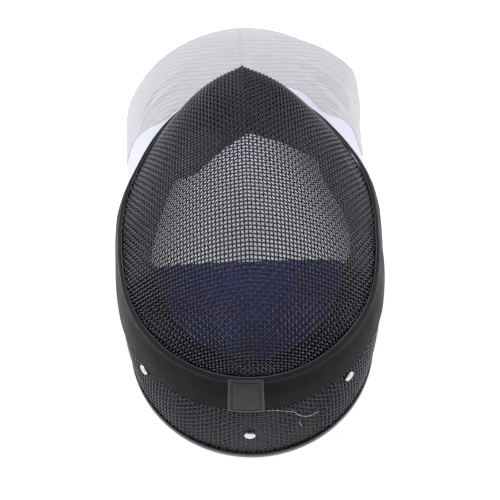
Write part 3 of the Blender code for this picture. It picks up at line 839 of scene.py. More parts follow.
def wire_finish(name, specular, smooth, rough):
    """Black baked paint on steel wire, worn thin in patches."""
    f = Finish(name, roughness=rough, specular=specular)
    fine = f.noise(900.0, 4.0)
    base = f.ramp(f.noise(35.0), (0.30, (0.004, 0.004, 0.006)), (0.70, (0.008, 0.008, 0.011)))
    worn = f.spread(f.noise(240.0, 5.0, 0.65), 0.0, 1.0, 0.60, 0.74)
    f.set({
        "Base Color": f.blend(worn, base, (0.035, 0.034, 0.036)),
        "Roughness": f.spread(fine, smooth, rough),
        "Specular Tint": (0.86, 0.86, 1.0, 1.0),
    })
    f.bump(fine, 0.00006, 0.5)
    return f.material


def vinyl_finish():
    """The band's grained vinyl: pebbles, faint mottling, a painted highlight along its upper edge and a
    paler strip below it, painted light against the shade there.
    """
    f = Finish("band_vinyl", roughness=0.46, specular=0.05)
    broad = f.noise(22.0, 4.0, 0.6)
    high = (0.0042, 0.0042, 0.0060)
    shade = f.ramp(broad, (0.32, (0.0020, 0.0020, 0.0034)), (0.68, high))
    scuff = f.spread(f.noise(130.0, 6.0, 0.7), 0.0, 0.5, 0.62, 0.80)
    shade = f.blend(scuff, shade, tuple(1.7 * c for c in high))
    down = f.uv_parts()[1]
    # A paler strip just below the lap: painted light that lifts the shade where the band meets the mesh.
    shade = f.blend(f.spread(down, 0.9, 0.0, 0.0030, 0.0050), shade, (0.032, 0.032, 0.036))
    # A pale line along the top edge: a painted highlight, as the bead's crest would catch the light.
    shade = f.blend(f.spread(down, 0.9, 0.0, 0.0006, 0.0010), shade, (0.115, 0.115, 0.120))
    gloss = f.spread(f.maths("ADD", broad, f.noise(600.0)), 0.38, 0.56, 0.7, 1.3)
    f.set({"Base Color": shade, "Roughness": gloss})
    f.bump(f.cells(1500.0), 0.00008, 0.55)
    f.bump(f.noise(90.0), 0.0004, 0.25)
    f.sheen(0.015, 0.35)
    return f.material


def patch_finish():
    """Grey grained vinyl with a pressed line inside its border, painted dark as shade in its groove, and
    rubbed edges.
    """
    f = Finish("patch_vinyl", roughness=0.44, specular=0.22)
    across, down = f.uv_parts()
    to_side = f.maths("SUBTRACT", PATCH_WIDTH / 2, f.maths("ABSOLUTE", across))
    to_end = f.maths("MINIMUM", down, f.maths("SUBTRACT", PATCH_LENGTH, down))
    edge = f.maths("MINIMUM", to_side, to_end)
    off_line = f.maths("ABSOLUTE", f.maths("SUBTRACT", edge, PATCH_GROOVE))
    broad = f.noise(26.0, 4.0, 0.65)
    shade = f.ramp(broad, (0.30, (0.016, 0.016, 0.021)), (0.72, (0.028, 0.028, 0.036)))
    worn = f.spread(f.noise(70.0, 6.0, 0.7), 0.0, 0.6, 0.50, 0.70)
    shade = f.blend(worn, shade, (0.039, 0.039, 0.046))
    # The pressed line is painted dark: painted shade in its groove.
    shade = f.blend(f.spread(off_line, 0.8, 0.0, 0.00025, 0.00075), shade, (0.006, 0.006, 0.007))
    shade = f.blend(f.spread(edge, 0.7, 0.0, 0.0003, 0.0011), shade, (0.085, 0.085, 0.092))
    f.set({"Base Color": shade, "Roughness": f.spread(f.noise(600.0), 0.34, 0.52)})
    f.bump(f.cells(1500.0), 0.00008, 0.55)
    f.bump(f.noise(90.0), 0.0005, 0.35)
    return f.material


def cloth_finish(name, low, high, thread, roughness=0.8, sheen=0.2, depth=0.00012, specular=0.3):
    """Woven cloth with its threads along the sheet's own directions."""
    f = Finish(name, roughness=roughness, specular=specular)
    weave = f.maths("MAXIMUM", f.wave(thread, "X"), f.wave(thread * 1.12, "Y"))
    shade = f.ramp(f.noise(28.0, 4.0, 0.6), (0.30, low), (0.70, high))
    gaps = f.spread(weave, 0.22, 0.0, 0.35, 0.9)
    gloss = f.spread(f.noise(400.0), roughness - 0.08, min(roughness + 0.08, 1.0))
    f.set({"Base Color": f.blend(gaps, shade, tuple(0.45 * c for c in low)), "Roughness": gloss})
    f.bump(weave, depth, 0.6)
    f.bump(f.noise(160.0, 4.0), 0.0004, 0.25)
    f.sheen(sheen)
    return f.material


def lame_finish():
    """Silver conductive cloth: fine metal threads, small pleats, sewn rows and a centre seam, with
    painted shade in the pleats' hollows, along the rows and along the seam.
    """
    f = Finish("silver_cloth", roughness=0.5, metallic=0.25, specular=0.4)
    weave = f.maths("MAXIMUM", f.wave(0.0007, "X"), f.wave(0.0009, "Y", 0.6))
    crush = f.noise(1.0, 5.0, 0.62, f.scaled("UV", 70.0, 420.0, 1.0))
    # Darker where the crush relief is low: painted shade in the hollows of the small pleats.
    pleat_shade_tones = ((0.30, (0.54, 0.54, 0.575)), (0.55, (0.665, 0.665, 0.71)), (0.80, (0.74, 0.74, 0.79)))
    tarnish = f.spread(f.noise(40.0, 4.0, 0.6), 0.0, 0.35, 0.52, 0.75)
    shade = f.blend(tarnish, f.ramp(crush, *pleat_shade_tones), (0.60, 0.59, 0.61))
    across, down = f.uv_parts()
    place = f.maths("FRACT", f.maths("ADD", f.maths("DIVIDE", down, ROW_PITCH), 0.5))
    near = f.maths("ABSOLUTE", f.maths("SUBTRACT", place, 0.5))
    below_first = f.spread(down, 0.0, 1.0, -0.0030, -0.0028)
    sewn = f.maths("MULTIPLY", f.spread(near, 0.46, 0.0, 0.06, 0.16), below_first)
    seam = f.spread(f.maths("ABSOLUTE", across), 0.24, 0.0, 0.00080, 0.00300)
    # The sewn rows and the centre seam are painted darker: painted shade in their grooves.
    shade = f.blend(f.maths("MAXIMUM", sewn, seam), shade, (0.42, 0.42, 0.46))
    shade = f.blend(f.spread(weave, 0.18, 0.0, 0.3, 0.9), shade, (0.40, 0.40, 0.42))
    f.set({"Base Color": shade, "Roughness": f.spread(crush, 0.42, 0.62)})
    f.bump(weave, 0.00012, 0.5)
    f.bump(crush, 0.0005, 0.35)
    f.sheen(0.15)
    return f.material


def rim_finish():
    """Satin grey edge strip with faint scratches along it."""
    f = Finish("grey_strip", roughness=0.45, specular=0.4)
    streak = f.noise(1.0, 4.0, 0.6, f.scaled("UV", 60.0, 2600.0, 1.0))
    grey = f.ramp(f.noise(30.0), (0.3, (0.20, 0.20, 0.21)), (0.7, (0.26, 0.26, 0.27)))
    scratch = f.ramp(streak, (0.3, (0.75, 0.75, 0.75)), (0.6, (1.0, 1.0, 1.0)))
    shade = f.blend(0.5, grey, scratch, "MULTIPLY")
    f.set({"Base Color": shade, "Roughness": f.spread(streak, 0.36, 0.55)})
    f.bump(streak, 0.00004, 0.4)
    return f.material


def steel_finish():
    """Plated steel with grains in its gloss and a few dull spots."""
    f = Finish("rivet_plate", roughness=0.3, metallic=1.0)
    spots = f.noise(700.0, 4.0, 0.6)
    shade = f.ramp(spots, (0.30, (0.55, 0.55, 0.54)), (0.62, (0.76, 0.76, 0.76)))
    f.set({"Base Color": shade, "Roughness": f.spread(spots, 0.22, 0.42)})
    f.bump(f.cells(2600.0), 0.00003, 0.3)
    return f.material


def thread_finish():
    f = Finish("loose_thread", roughness=0.8)
    f.set({"Base Color": f.ramp(f.noise(900.0), (0.3, (0.42, 0.42, 0.44)), (0.7, (0.62, 0.62, 0.64)))})
    f.bump(f.noise(4000.0), 0.00005, 0.5)
    return f.material


# The front mesh's woven net: equal steps between crossings, from the ridge outward


def front_tree():
    """The front mesh's outer surface from just left of the ridge, and its turned right edge."""
    steep_y = 0.196
    dome_y = np.linspace(TOP_Y, steep_y, 170)[1:]
    y = np.concatenate([crown_stations(150), dome_y, chin_stations(steep_y, 26)])
    across = np.sin(np.linspace(-0.35, math.pi / 2, 110))
    dome = front_point(y[:, None], across[None, :])
    ring, side, _ = open_ring(CHIN_Y, 0.0012)
    depth = np.linspace(0, FLANGE, 6)[:, None]
    slope = band_flare(ring, side) / band_drop(ring, side) * 0.5
    edge = off_edge(ring, slope * depth, edge_height(ring) - depth, side)[:, side > 0]
    verts, faces = [], []
    for grid in (dome, edge):
        faces += (quads(*grid.shape[:2], closed_cols=False) + len(verts)).tolist()
        verts += grid.reshape(-1, 3).tolist()
    return BVHTree.FromPolygons(verts, faces)


def seat(tree, point):
    """The nearest surface point and the outward normal there."""
    found, normal, _, gap = tree.find_nearest(point)
    if normal.dot(found - Vector(HEART)) < 0:
        normal = -normal
    return found, normal, gap


def step_node(tree, a, b, c):
    """The surface point one step from both a and b, away from c, or None."""
    point = a + b - c
    for _ in range(6):
        found, normal, gap = seat(tree, point)
        to_a, to_b = found - a, found - b
        miss_a, miss_b = to_a.length - PITCH, to_b.length - PITCH
        if max(abs(miss_a), abs(miss_b)) < NET_CLOSE:
            break
        e1 = to_a.cross(normal).normalized()
        e2 = normal.cross(e1)
        ga, gb = to_a.normalized(), to_b.normalized()
        m00, m01 = ga.dot(e1), ga.dot(e2)
        m10, m11 = gb.dot(e1), gb.dot(e2)
        det = m00 * m11 - m01 * m10
        if abs(det) < NET_FLAT:
            return None
        s = (-miss_a * m11 + miss_b * m01) / det
        t = (-miss_b * m00 + miss_a * m10) / det
        point = found + e1 * s + e2 * t
    if gap > NET_GAP or max(abs(miss_a), abs(miss_b)) > NET_MISS:
        return None
    return found


def even_nodes(line):
    """Points a pitch apart along a dense line."""
    run = run_of(line)
    at = np.arange(0, run[-1], PITCH)
    return [Vector([np.interp(s, run, line[:, k]) for k in range(3)]) for s in at]


def front_net():
    """Half of the net: {(row, column): (point, normal)}, with rows from the top's weft."""
    tree = front_tree()

    def down_to(y, dome):
        """Nodes along a line over the dome that ends at y and down the edge turned there."""
        fall = np.linspace(0, FLANGE, 20)[1:]
        turned = off_edge(y, FLANGE_SLOPE * fall, edge_height(y) - fall, 1)
        return even_nodes(np.concatenate([dome, turned]))

    ahead = np.concatenate([np.linspace(TOP_Y, TIP_Y, 500), chin_stations(TIP_Y, 60)])
    sides = {
        -1: down_to(CROWN_START_Y, front_point(crown_stations(500)[::-1], 0.0)),
        1: down_to(CHIN_Y, front_point(ahead, 0.0)),
    }
    weft = down_to(TOP_Y, front_point(TOP_Y, np.linspace(0, 1, 400)))
    net = {(0, j): point for j, point in enumerate(weft)}
    for way, line in sides.items():
        for k, point in enumerate(line[1:], 1):
            net[way * k, 0] = point
            for j in range(1, len(weft) + 30):
                near = [net.get((way * (k - a), j - b)) for a, b in ((1, 0), (0, 1), (1, 1))]
                if None in near:
                    if j >= len(weft):
                        break
                    continue
                found = step_node(tree, *near)
                if found is not None:
                    net[way * k, j] = found
    finished = {}
    for (i, j), point in net.items():
        normal = seat(tree, point)[1]
        if j == 0:
            normal = Vector((0.0, normal.y, normal.z)).normalized()
        finished[i, j] = (np.array(point - normal * (WIRE_WALL / 2)), np.array(normal))
    return finished


def cheek(points):
    """Points moved out where the right cheek is fuller."""
    points = np.array(points, float)
    height = points[..., 2] - edge_height(points[..., 1])
    away = np.clip(np.where(height > 0, height / CHEEK_RISE, -height / CHEEK_FALL), 0, 1)
    out = read(CHEEK, "out", points[..., 1]) * (1 - away) ** 2 * (1 + 2 * away)
    points[..., 0] += np.where(points[..., 0] > 0, out, 0.0)
    return points


def runs(net, spots):
    """Unbroken stretches of two nodes or more among the spots."""
    stretch = []
    for spot in [*spots, None]:
        if spot is not None and (spot[0], abs(spot[1])) in net:
            stretch.append(spot)
            continue
        if len(stretch) > 1:
            yield stretch
        stretch = []


def front_lines(net):
    """Warp lines along the ridge and weft lines across it."""
    wide = max(j for _, j in net)
    rows = range(min(i for i, _ in net), max(i for i, _ in net) + 1)
    cols = range(-wide, wide + 1)

    def line(spots, way):
        mirror = [[-1 if j < 0 else 1, 1, 1] for _, j in spots]
        points, normals = (np.array([net[i, abs(j)][k] for i, j in spots]) * mirror for k in (0, 1))
        return cheek(points), normals, [way if (i + j) % 2 == 0 else -way for i, j in spots]

    warp = [line(spots, 1) for j in cols for spots in runs(net, [(i, j) for i in rows])]
    weft = [line(spots, -1) for i in rows for spots in runs(net, [(i, j) for j in cols])]
    return warp, weft


def crown_lines():
    """Upright warp lines and level weft lines of the crown wall."""
    y, side, _ = open_ring(WALL_END_Y - 0.0010, PITCH)
    low = RIM_BASE + GAP
    z = low + np.arange(int((WALL_TOP - low) / PITCH) + 1) * PITCH
    grid = wall_point(y[None, :], np.broadcast_to(z[:, None], (len(z), len(y))), side[None, :])
    normal = grid_normals(grid)
    middle = grid - normal * (WIRE_WALL / 2)
    over = np.where((np.arange(len(z))[:, None] + np.arange(len(y))[None]) % 2 == 0, 1.0, -1.0)
    centre = ramp_up(-y, -WALL_STRAIGHT_Y, STRAIGHT_RUN - WALL_STRAIGHT_Y)[None, :]
    upright = over * (1 - STRAIGHTENED * centre) + STRAIGHT_LIFT * centre
    warp = [(middle[:, c], normal[:, c], upright[:, c]) for c in range(len(y))]
    weft = [(middle[r], normal[r], -upright[r]) for r in range(len(z))]
    return warp, weft


# Trim band, patch, rim and rivets


def band_profile(drop):
    """Distance down from the band's top and height over its face, from bead to hem."""
    bead = [(1.2, 1.00), (1.9, 0.85), (2.6, 0.65)]
    hem = [(2.6, 0.05), (2.2, -0.02), (1.9, -0.16), (1.6, 0.02), (1.0, 0.10), (0.4, 0.02), (0.0, -0.30)]
    rows = [(np.full_like(drop, d / 1000), a / 1000) for d, a in bead]
    for share in np.linspace(0, 1, 15)[1:-1]:
        below = (drop - 0.0052) * share
        bow = 0.0002 * math.sin(math.pi * share)
        rows.append((0.0026 + below, 0.00005 + bow + 0.0006 * np.exp(-below / 0.0025)))
    return rows + [(drop - d / 1000, a / 1000) for d, a in hem]


def band_lap(y, side):
    """Rows of the band's upper edge, which laps over the front mesh."""
    tree = front_tree()
    wide = by_side(LAP, "{}", y, side)
    edge = off_edge(y, 0.0, edge_height(y), 1)
    within = off_edge(y, -0.0030, edge_height(y) + 0.0030, 1)
    rows = []
    for share, above in ((1.0, 0.0009), (1.0, 0.0012), (0.78, 0.0015), (0.45, 0.0021), (0.18, 0.0027)):
        line = np.empty((len(y), 3))
        for k in range(len(y)):
            inward = (seat(tree, within[k])[0] - Vector(edge[k])).normalized()
            spot, normal, _ = seat(tree, Vector(edge[k]) + inward * wide[k] * share)
            line[k] = spot + normal * above
        line[:, 0] *= side
        for _ in range(3):
            line = 0.25 * np.roll(line, 1, axis=0) + 0.5 * line + 0.25 * np.roll(line, -1, axis=0)
        rows.append(line)
    return rows


def build_band(finish):
    y, side, run, total = closed_ring(0.0022)
    drop = band_drop(y, side)
    pucker = np.sin(run * 2 * math.pi / 0.031) + 0.7 * np.sin(run * 2 * math.pi / 0.0173 + 1.3)
    lap = band_lap(y, side)
    grid = list(lap)
    for down, above in band_profile(drop):
        share = down / drop
        ripple = 0.00008 * pucker * np.sin(math.pi * np.clip(share, 0, 1))
        grid.append(band_point(y, share, side, above + ripple))
    wall = np.full(len(grid), BAND_WALL - 0.0001)
    wall[: len(lap)] = 0.0004
    wall[len(lap) : len(lap) + 3] = (0.0007, 0.0011, 0.0015)
    return shell("band_ring", cheek(grid), wall[:, None], finish, True, run, total)


def build_patch(finish):
    across = np.linspace(-1, 1, 61)
    y, side = crown_place(PATCH_TURN + PATCH_HALF * across)
    drop = band_drop(y, side)
    grid = []
    for share in np.linspace(PATCH_TOP, PATCH_FOOT, 81):
        to_side = (1 - np.abs(across)) * PATCH_WIDTH / 2
        edge = np.minimum(to_side, min(share - PATCH_TOP, PATCH_FOOT - share) * drop)
        groove = 0.00055 * peak(edge - PATCH_GROOVE, 0.00042)
        border = 0.00028 * np.clip((PATCH_GROOVE - edge) / 0.0006, 0, 1) * np.clip(edge / 0.0007, 0, 1)
        field = 0.00024 * np.clip((edge - 0.0032) / 0.004, 0, 1)
        above = PATCH_WALL + GAP - 0.0001 - groove + border + field
        grid.append(band_point(y, share, side, above))
    run = across * PATCH_WIDTH / 2
    return shell("patch_square", np.array(grid), PATCH_WALL - 0.0002, finish, run=run)


def patch_stitches(finish):
    """Short stitches in the patch's groove, as one mesh."""
    right = 1 - PATCH_GROOVE / (PATCH_WIDTH / 2)
    inset = PATCH_GROOVE / 0.0390
    top, foot = PATCH_TOP + inset, PATCH_FOOT - inset
    corners = [(-right, top), (right, top), (right, foot), (-right, foot)]
    lift = 0.00022 * np.sin(np.linspace(0, math.pi, 7)) - 0.0001
    lines = []
    for (a0, d0), (a1, d1) in zip(corners, corners[1:] + corners[:1]):
        count = int(math.hypot((a1 - a0) * PATCH_WIDTH / 2, (d1 - d0) * 0.0395) / 0.0026)
        for k in range(count):
            t = (k + np.linspace(0.14, 0.86, 7)) / count
            y, side = crown_place(PATCH_TURN + PATCH_HALF * (a0 + (a1 - a0) * t))
            down = d0 + (d1 - d0) * t
            face = band_point(y, down, side, 0.01) - band_point(y, down, side)
            lines.append((band_point(y, down, side, PATCH_WALL + GAP - 0.0005 + lift), face))
    return tubes("patch_stitching", lines, THREAD_RADIUS, 6, finish)


def build_rim(finish):
    """The grey edge strip, rounded, with a base under the wire."""
    base_in = (RIM_LIP + GAP + WIRE_WALL + 0.0006) * 1000
    outline = (
        # distance inward from the rim's outer face and height, in millimetres
        (0.55, 0.0), (0.18, 0.22), (0.0, 0.75), (-0.04, 1.6), (-0.04, 2.6), (0.0, 3.6),
        (0.14, 4.1), (0.42, 4.38), (0.78, 4.38), (1.04, 4.15), (1.12, 3.6), (1.15, 2.4),
        (1.25, 2.2), (base_in - 0.2, 2.2), (base_in, 1.9), (base_in, 0.3), (base_in - 0.3, 0.0),
    )
    y, side, run = open_ring(WALL_END_Y, 0.0022)
    loop = np.array([off_edge(y, rim_out(y) - d / 1000, z / 1000, side) for d, z in outline])
    count, cols = loop.shape[:2]
    centre = loop.mean(axis=0)
    for c, share in ((0, 0.6), (1, 0.9), (cols - 2, 0.9), (cols - 1, 0.6)):
        loop[:, c] = centre[c] + (loop[:, c] - centre[c]) * share
    faces, uv = loop_faces(run, np.broadcast_to(np.arange(count + 1) * 0.0006, (cols, count + 1)))
    faces += [list(range(count - 1, -1, -1)), list(range((cols - 1) * count, cols * count))]
    uv += [(0.0, 0.0)] * (2 * count)
    verts = loop.transpose(1, 0, 2).reshape(-1, 3)
    return face_out(new_object("edge_strip", verts, faces, finish, uv))


def build_tape(finish):
    """The black tape: a flat bead over the wire's foot, ribbed along its length."""
    y, side, run = open_ring(WALL_END_Y, 0.0016)
    rib = 0.00004 * np.where(np.arange(len(y)) % 2 == 0, 1, -1)
    grid = []
    bead = ((2.2, 0.55), (2.05, 0.85), (1.6, 1.0), (1.1, 1.06), (0.6, 1.0), (0.15, 0.85), (0.0, 0.55))
    for z, above in bead:
        height = np.full_like(y, RIM_HEIGHT + GAP + z / 1000)
        grid.append(wall_point(y, height, side, GAP + above / 1.06 * TAPE_WALL + rib))
    return shell("rim_binding", np.array(grid), TAPE_WALL * 0.55, finish, run=run)


def build_rivet(name, degrees, z, finish):
    """A pressed head: a flat field, a rounded shoulder and a flat back, turned round its axis."""

    def wall(d, height):
        y, side = crown_place(d)
        return Vector(wall_point(y, np.asarray(height), side))

    along = wall(degrees + 2.0, z) - wall(degrees - 2.0, z)
    out = along.cross(wall(degrees, z + 0.003) - wall(degrees, z - 0.003)).normalized()
    turn = out.to_track_quat("Z", "Y").to_matrix()
    outline = [(0.0012, 0.00138), (0.0022, 0.00131)]
    for bend in np.linspace(0, math.pi / 2, 9):
        outline.append((0.0030 + 0.00132 * math.sin(bend), 0.0003 + 0.00095 * math.cos(bend)))
    outline += [(0.00428, 0.00008), (0.0041, 0.0)]
    steps = 48
    angles = [2 * math.pi * k / steps for k in range(steps)]
    spots = [(r * math.cos(a), r * math.sin(a), h) for r, h in outline for a in angles]
    spots = [(0.0, 0.0, 0.00140), *spots, (0.0, 0.0, 0.0)]
    verts = [tuple(wall(degrees, z) + out * RIVET_SEAT + turn @ Vector(spot)) for spot in spots]
    last = 1 + (len(outline) - 1) * steps
    faces = [(0, 1 + k, 1 + (k + 1) % steps) for k in range(steps)]
    faces += (quads(len(outline), steps)[:, [0, 3, 2, 1]] + 1).tolist()
    faces += [(last + (k + 1) % steps, last + k, len(verts) - 1) for k in range(steps)]
    made = new_object(name, verts, faces, finish)
    made.data.set_sharp_from_angle(angle=math.radians(50))
    return made


# Bib


def bib_stations(first, count):
    """Places along the bib from the left side's to the chin and back to the right side's."""
    half = np.linspace(first, 1, count + 1)
    return np.concatenate([half, half[-2::-1]]), np.repeat([-1.0, 1.0], [count + 1, count])


def build_bib(finish):
    along, side = bib_stations(0.0, 150)
    length = bib_length(along, side)
    grid = [bib_top(along, side, rise) for rise in (0.0010, 0.0005)]
    for down in np.linspace(0, 1, 60):
        groove = -0.00035 * peak((1 - down) * length - HEM_SEAM, 0.0007)
        grid.append(bib_point(along, np.full_like(along, down), side, groove))
    return shell("bib_cloth", np.array(grid), BIB_WALL, finish)


def row_place(points, along, down, side):
    """Place down the silver cloth's sewn rows, a whole number on each row."""
    level = ROW_TILT[0] * points[..., 1] + ROW_TILT[1] * points[..., 2]
    droop = by_side(ROW_DROOP, "{}", np.abs(points[..., 0]), side, "x")
    wander = 0.06 * np.sin(along * 31 + side * 1.7) + 0.04 * np.sin(along * 73 + 0.6)
    return (ROW_TOP - level - droop * (0.75 + 0.5 * (1 - down))) / ROW_RISE + wander


def row_height(place, along):
    """Relief of the silver cloth: sewn rows with small pleats beside them."""
    near = np.abs(place - np.round(place))
    sewn = np.where(place > -0.5, peak(near, 0.10), 0.0)
    pleat = np.sin(along * 2 * math.pi * 46 + 3 * np.sin(along * 17) + place * 1.9)
    return -0.00034 * sewn + 0.00005 * pleat * (2 * near) ** 2 * np.sin(2 * math.pi * near)


def build_lame(finish):
    count = 190
    along, side = bib_stations(LAME_START["along"][0], count)
    start = by_side(LAME_START, "{}", along, side, "along") + 0.015
    length = bib_length(along, side)
    off_centre = (1 - along) * BIB_RUN
    seam = 0.0002 * peak(off_centre - 0.0024, 0.0014) - 0.0003 * peak(off_centre, 0.0012)
    grid, fall = [], []
    for share in np.linspace(0, 1, 125):
        down = start + (1 - start) * share
        place = row_place(bib_point(along, down, side, LAME_OUT), along, down, side)
        hem = 0.0004 * peak((1 - down) * length - LAME_HEM_SEAM, 0.0006)
        tuck = LAME_OUT * 0.55 * np.clip(1 - share * 25, 0, 1)
        relief = row_height(place, along) - tuck - hem + seam
        fall.append(place * ROW_PITCH)
        grid.append(bib_point(along, down, side, LAME_OUT + relief))
    grid = np.array(grid)
    run = run_of(grid, 1)
    return shell("silver_bib", grid, LAME_WALL, finish, run=run - run[count], fall=np.array(fall))


# Padded pieces


def vertex_places(mesh):
    places = np.empty(len(mesh.vertices) * 3)
    mesh.vertices.foreach_get("co", places)
    return places.reshape(-1, 3)


def swell(obj, rows, cols, down_lines, across_lines, cap):
    """Blows a closed cloth form up a little by simulation and keeps the result.

    Its edges and the given rows and columns are sewn and stay where they are.
    """
    rest = vertex_places(obj.data)
    held = obj.vertex_groups.new(name="held")
    count = 2 * rows + 2
    for c in range(cols):
        for k in range(count):
            r = k if k < rows else 2 * rows - k
            sewn_row = r in (0, rows - 1, *down_lines) or k in (rows, count - 1)
            if sewn_row or c in (0, cols - 1, *across_lines):
                held.add([c * count + k], 1.0, "REPLACE")
    cloth = obj.modifiers.new("swell", "CLOTH")
    settings = {
        "quality": 5,
        "mass": 0.2,
        "use_pressure": True,
        "uniform_pressure_force": SWELL_PRESSURE,
        "vertex_group_mass": "held",
        "tension_stiffness": 8,
        "compression_stiffness": 8,
        "shear_stiffness": 4,
        "bending_stiffness": 0.6,
    }
    for name, value in settings.items():
        setattr(cloth.settings, name, value)
    cloth.settings.effector_weights.gravity = 0.0
    cloth.collision_settings.use_collision = False
    scene = bpy.context.scene
    scene.frame_start = 1
    scene.frame_end = SWELL_FRAMES + 2
    for number in range(1, SWELL_FRAMES + 1):
        scene.frame_set(number)
    shape = obj.evaluated_get(bpy.context.evaluated_depsgraph_get())
    moved = vertex_places(shape.data) - rest
    obj.modifiers.remove(cloth)
    scene.frame_set(1)
    size = np.linalg.norm(moved, axis=1, keepdims=True)
    moved *= np.minimum(1, cap / np.maximum(size, 1e-9))
    obj.data.vertices.foreach_set("co", (rest + moved).ravel())
    obj.data.update()


def lining_head(y, side):
    """The lining's upper edge, which climbs inside the front mesh near the chin."""
    run = np.clip((y - LINING_RISE_Y) / (CHIN_Y - LINING_RISE_Y), 0.0, 1.0)
    climb = run * run * (3 - 2 * run)
    y = y - LINING_RISE_BACK * climb
    across = side * (1 - climb)
    along = front_point(y + 0.0004, across) - front_point(y - 0.0004, across)
    over = front_point(y, across + 0.004) - front_point(y, across - 0.004)
    depth = LINING_DEPTH - 0.0012 * (1 - climb)
    return front_point(y, across) + unit(np.cross(along, over)) * depth[:, None]


def build_cheek_lining(finish):
    y, _ = even_edge(LINING_START_Y - 0.0006, CHIN_Y, 0.0042)
    ys = np.concatenate([y, y[-2::-1]])
    side = np.repeat([-1.0, 1.0], [len(y), len(y) - 1])
    head = lining_head(ys, side)
    top = off_edge(ys, -LINING_INSET - 0.0004, edge_height(ys) - LINING_TOP, side)
    x, free_y = (by_side(LINING, "{}_" + way, ys, side) for way in "xy")
    x = np.where(ys >= CHIN_Y, 0.0, x)
    free = np.stack([side * x, free_y, np.full_like(ys, LINING_Z)], -1)
    grid = [head * (1 - share) + top * share for share in np.linspace(0, 1, 5)[:-1]]
    grid += [top * (1 - share) + free * share for share in np.linspace(0, 1, 15)]
    made = shell("cheek_padding", np.array(grid), PADDING_WALL, finish)
    swell(made, len(grid), len(ys), (4,), range(11, len(ys), 12), CHEEK_SWELL)
    return made


def build_crown_lining(finish):
    y, side, run = open_ring(CROWN_LINING_END_Y, 0.0045)

    def behind_wall(z):
        return wall_point(y, np.full_like(y, z), side, -WIRE_WALL - 0.0010)

    inner = pad_edge_point(np.radians(np.linspace(-86, 86, len(y))), PAD_LAP)
    inner[:, 2] -= PAD_WALL + GAP
    outer = behind_wall(SHELF_Z)
    grid = [inner * (1 - s) + outer * s for s in (0.0, 0.25, 0.5, 0.75, 0.93)]
    grid.append(0.25 * (grid[-1] + behind_wall(SHELF_Z - 0.006)) + 0.5 * outer)
    grid += [behind_wall(z) for z in np.linspace(SHELF_Z - 0.004, CROWN_LINING_BASE, 19)]
    made = shell("crown_padding", np.array(grid), PADDING_WALL, finish, run=run)
    swell(made, len(grid), len(y), (6,), range(9, len(y), 10), CROWN_SWELL)
    return made


def build_pad(finish):
    """The navy forehead pad: a crowned closed form with a welted edge."""
    rings, cols = 15, 41
    edge = pad_edge_point(np.radians(np.linspace(-90, 90, cols)))
    middle = np.array([0.0, PAD_Y - PAD_BOW])
    share = np.linspace(0.02, 1.0, rings)[:, None]
    xy = middle + (edge[:, :2] - middle) * share[..., None]
    z = PAD_TOP_Z + (edge[:, 2] - PAD_TOP_Z) * share**1.8
    across = np.abs(np.linspace(-1, 1, cols))[None, :]
    thick = PAD_WALL * (0.62 - 0.30 * ramp_up(share, 0.86, 1) - 0.22 * ramp_up(across, 0.9, 1))
    grid = np.concatenate([xy, (z - (PAD_WALL - thick) * 0.5)[..., None]], -1)
    made = shell("forehead_cushion", grid, thick, finish)
    swell(made, rings, cols, (), (), PAD_SWELL)
    return made


def build_tongue(finish):
    """A cloth-covered strip with stitched borders."""
    knots = np.arange(len(TONGUE["y"]), dtype=float)
    t = np.linspace(0, knots[-1], 90)
    y, z, half = (smooth(t, knots, TONGUE[name])[:, None] for name in ("y", "z", "half_width"))
    across = np.linspace(-1, 1, 41)
    grid = np.stack(np.broadcast_arrays(half * across, y, z), -1)
    seam = peak((1 - np.abs(across)) * half - TONGUE_SEAM, 0.0006)
    grid = grid - grid_normals(grid) * (0.0004 * seam + 0.0003)[..., None]
    return shell("tongue_strip", grid, TONGUE_WALL - 0.0006 - 0.0008 * seam, finish)


def build_thread(finish):
    """The loose thread under the band's edge, right of the patch."""
    spots = (
        # degrees round the crown, height, distance from the wall
        (5.0, 0.0722, 0.0016),
        (8.5, 0.0702, 0.0012),
        (12.5, 0.0670, 0.0012),
        (16.5, 0.0625, 0.0014),
        (17.5, 0.0585, 0.0016),
        (19.0, 0.0540, 0.0014),
        (22.0, 0.0487, 0.0012),
        (24.0, 0.0482, 0.0012),
        (26.5, 0.0484, 0.0012),
        (27.2, 0.0478, -0.0006),
        (25.5, 0.0470, -0.0022),
        (21.0, 0.0460, -0.0024),
        (18.3, 0.0455, -0.0012),
        (18.1, 0.0440, 0.0010),
        (19.0, 0.0385, 0.0012),
    )
    t = np.linspace(0, len(spots) - 1, 85)
    degrees, z, off = (np.interp(t, np.arange(len(spots)), given) for given in zip(*spots))
    y, side = crown_place(degrees)
    line = wall_point(y, z, side, off)
    for _ in range(4):
        line[1:-1] = 0.25 * line[:-2] + 0.5 * line[1:-1] + 0.25 * line[2:]
    normal = wall_point(y, z, side, off + 0.01) - line
    return tubes("loose_thread", [(line, normal)], THREAD_RADIUS, 8, finish), line - [0.0, MIDDLE_Y, 0.0]


# Stage


def build_floor():
    f = Finish("pale_floor", roughness=0.9, specular=0.1)
    f.set({"Base Color": (0.85, 0.85, 0.86, 1.0), "Emission Color": (1.0, 1.0, 1.0, 1.0)})
    # Inside the mask's outline the floor's glow is turned down: a painted shadow under the mask.
    outline = f.scaled("Object", 1 / SHADED_HALF_WIDTH, 1 / SHADED_HALF_LENGTH, 0.0)
    reach = f.add("VectorMath", "Value", {0: outline}, operation="LENGTH")
    f.set({"Emission Strength": f.spread(reach, PAINTED_SHADOW_GLOW, FLOOR_GLOW, 0.15, 0.98)})
    mesh = bpy.data.meshes.new("floor")
    corners = [(x * FLOOR_HALF, y * FLOOR_HALF, 0.0) for x, y in ((-1, -1), (1, -1), (1, 1), (-1, 1))]
    mesh.from_pydata(corners, [], [(0, 1, 2, 3)])
    mesh.materials.append(f.material)
    made = link("floor", mesh)
    made.location.z = FLOOR_Z


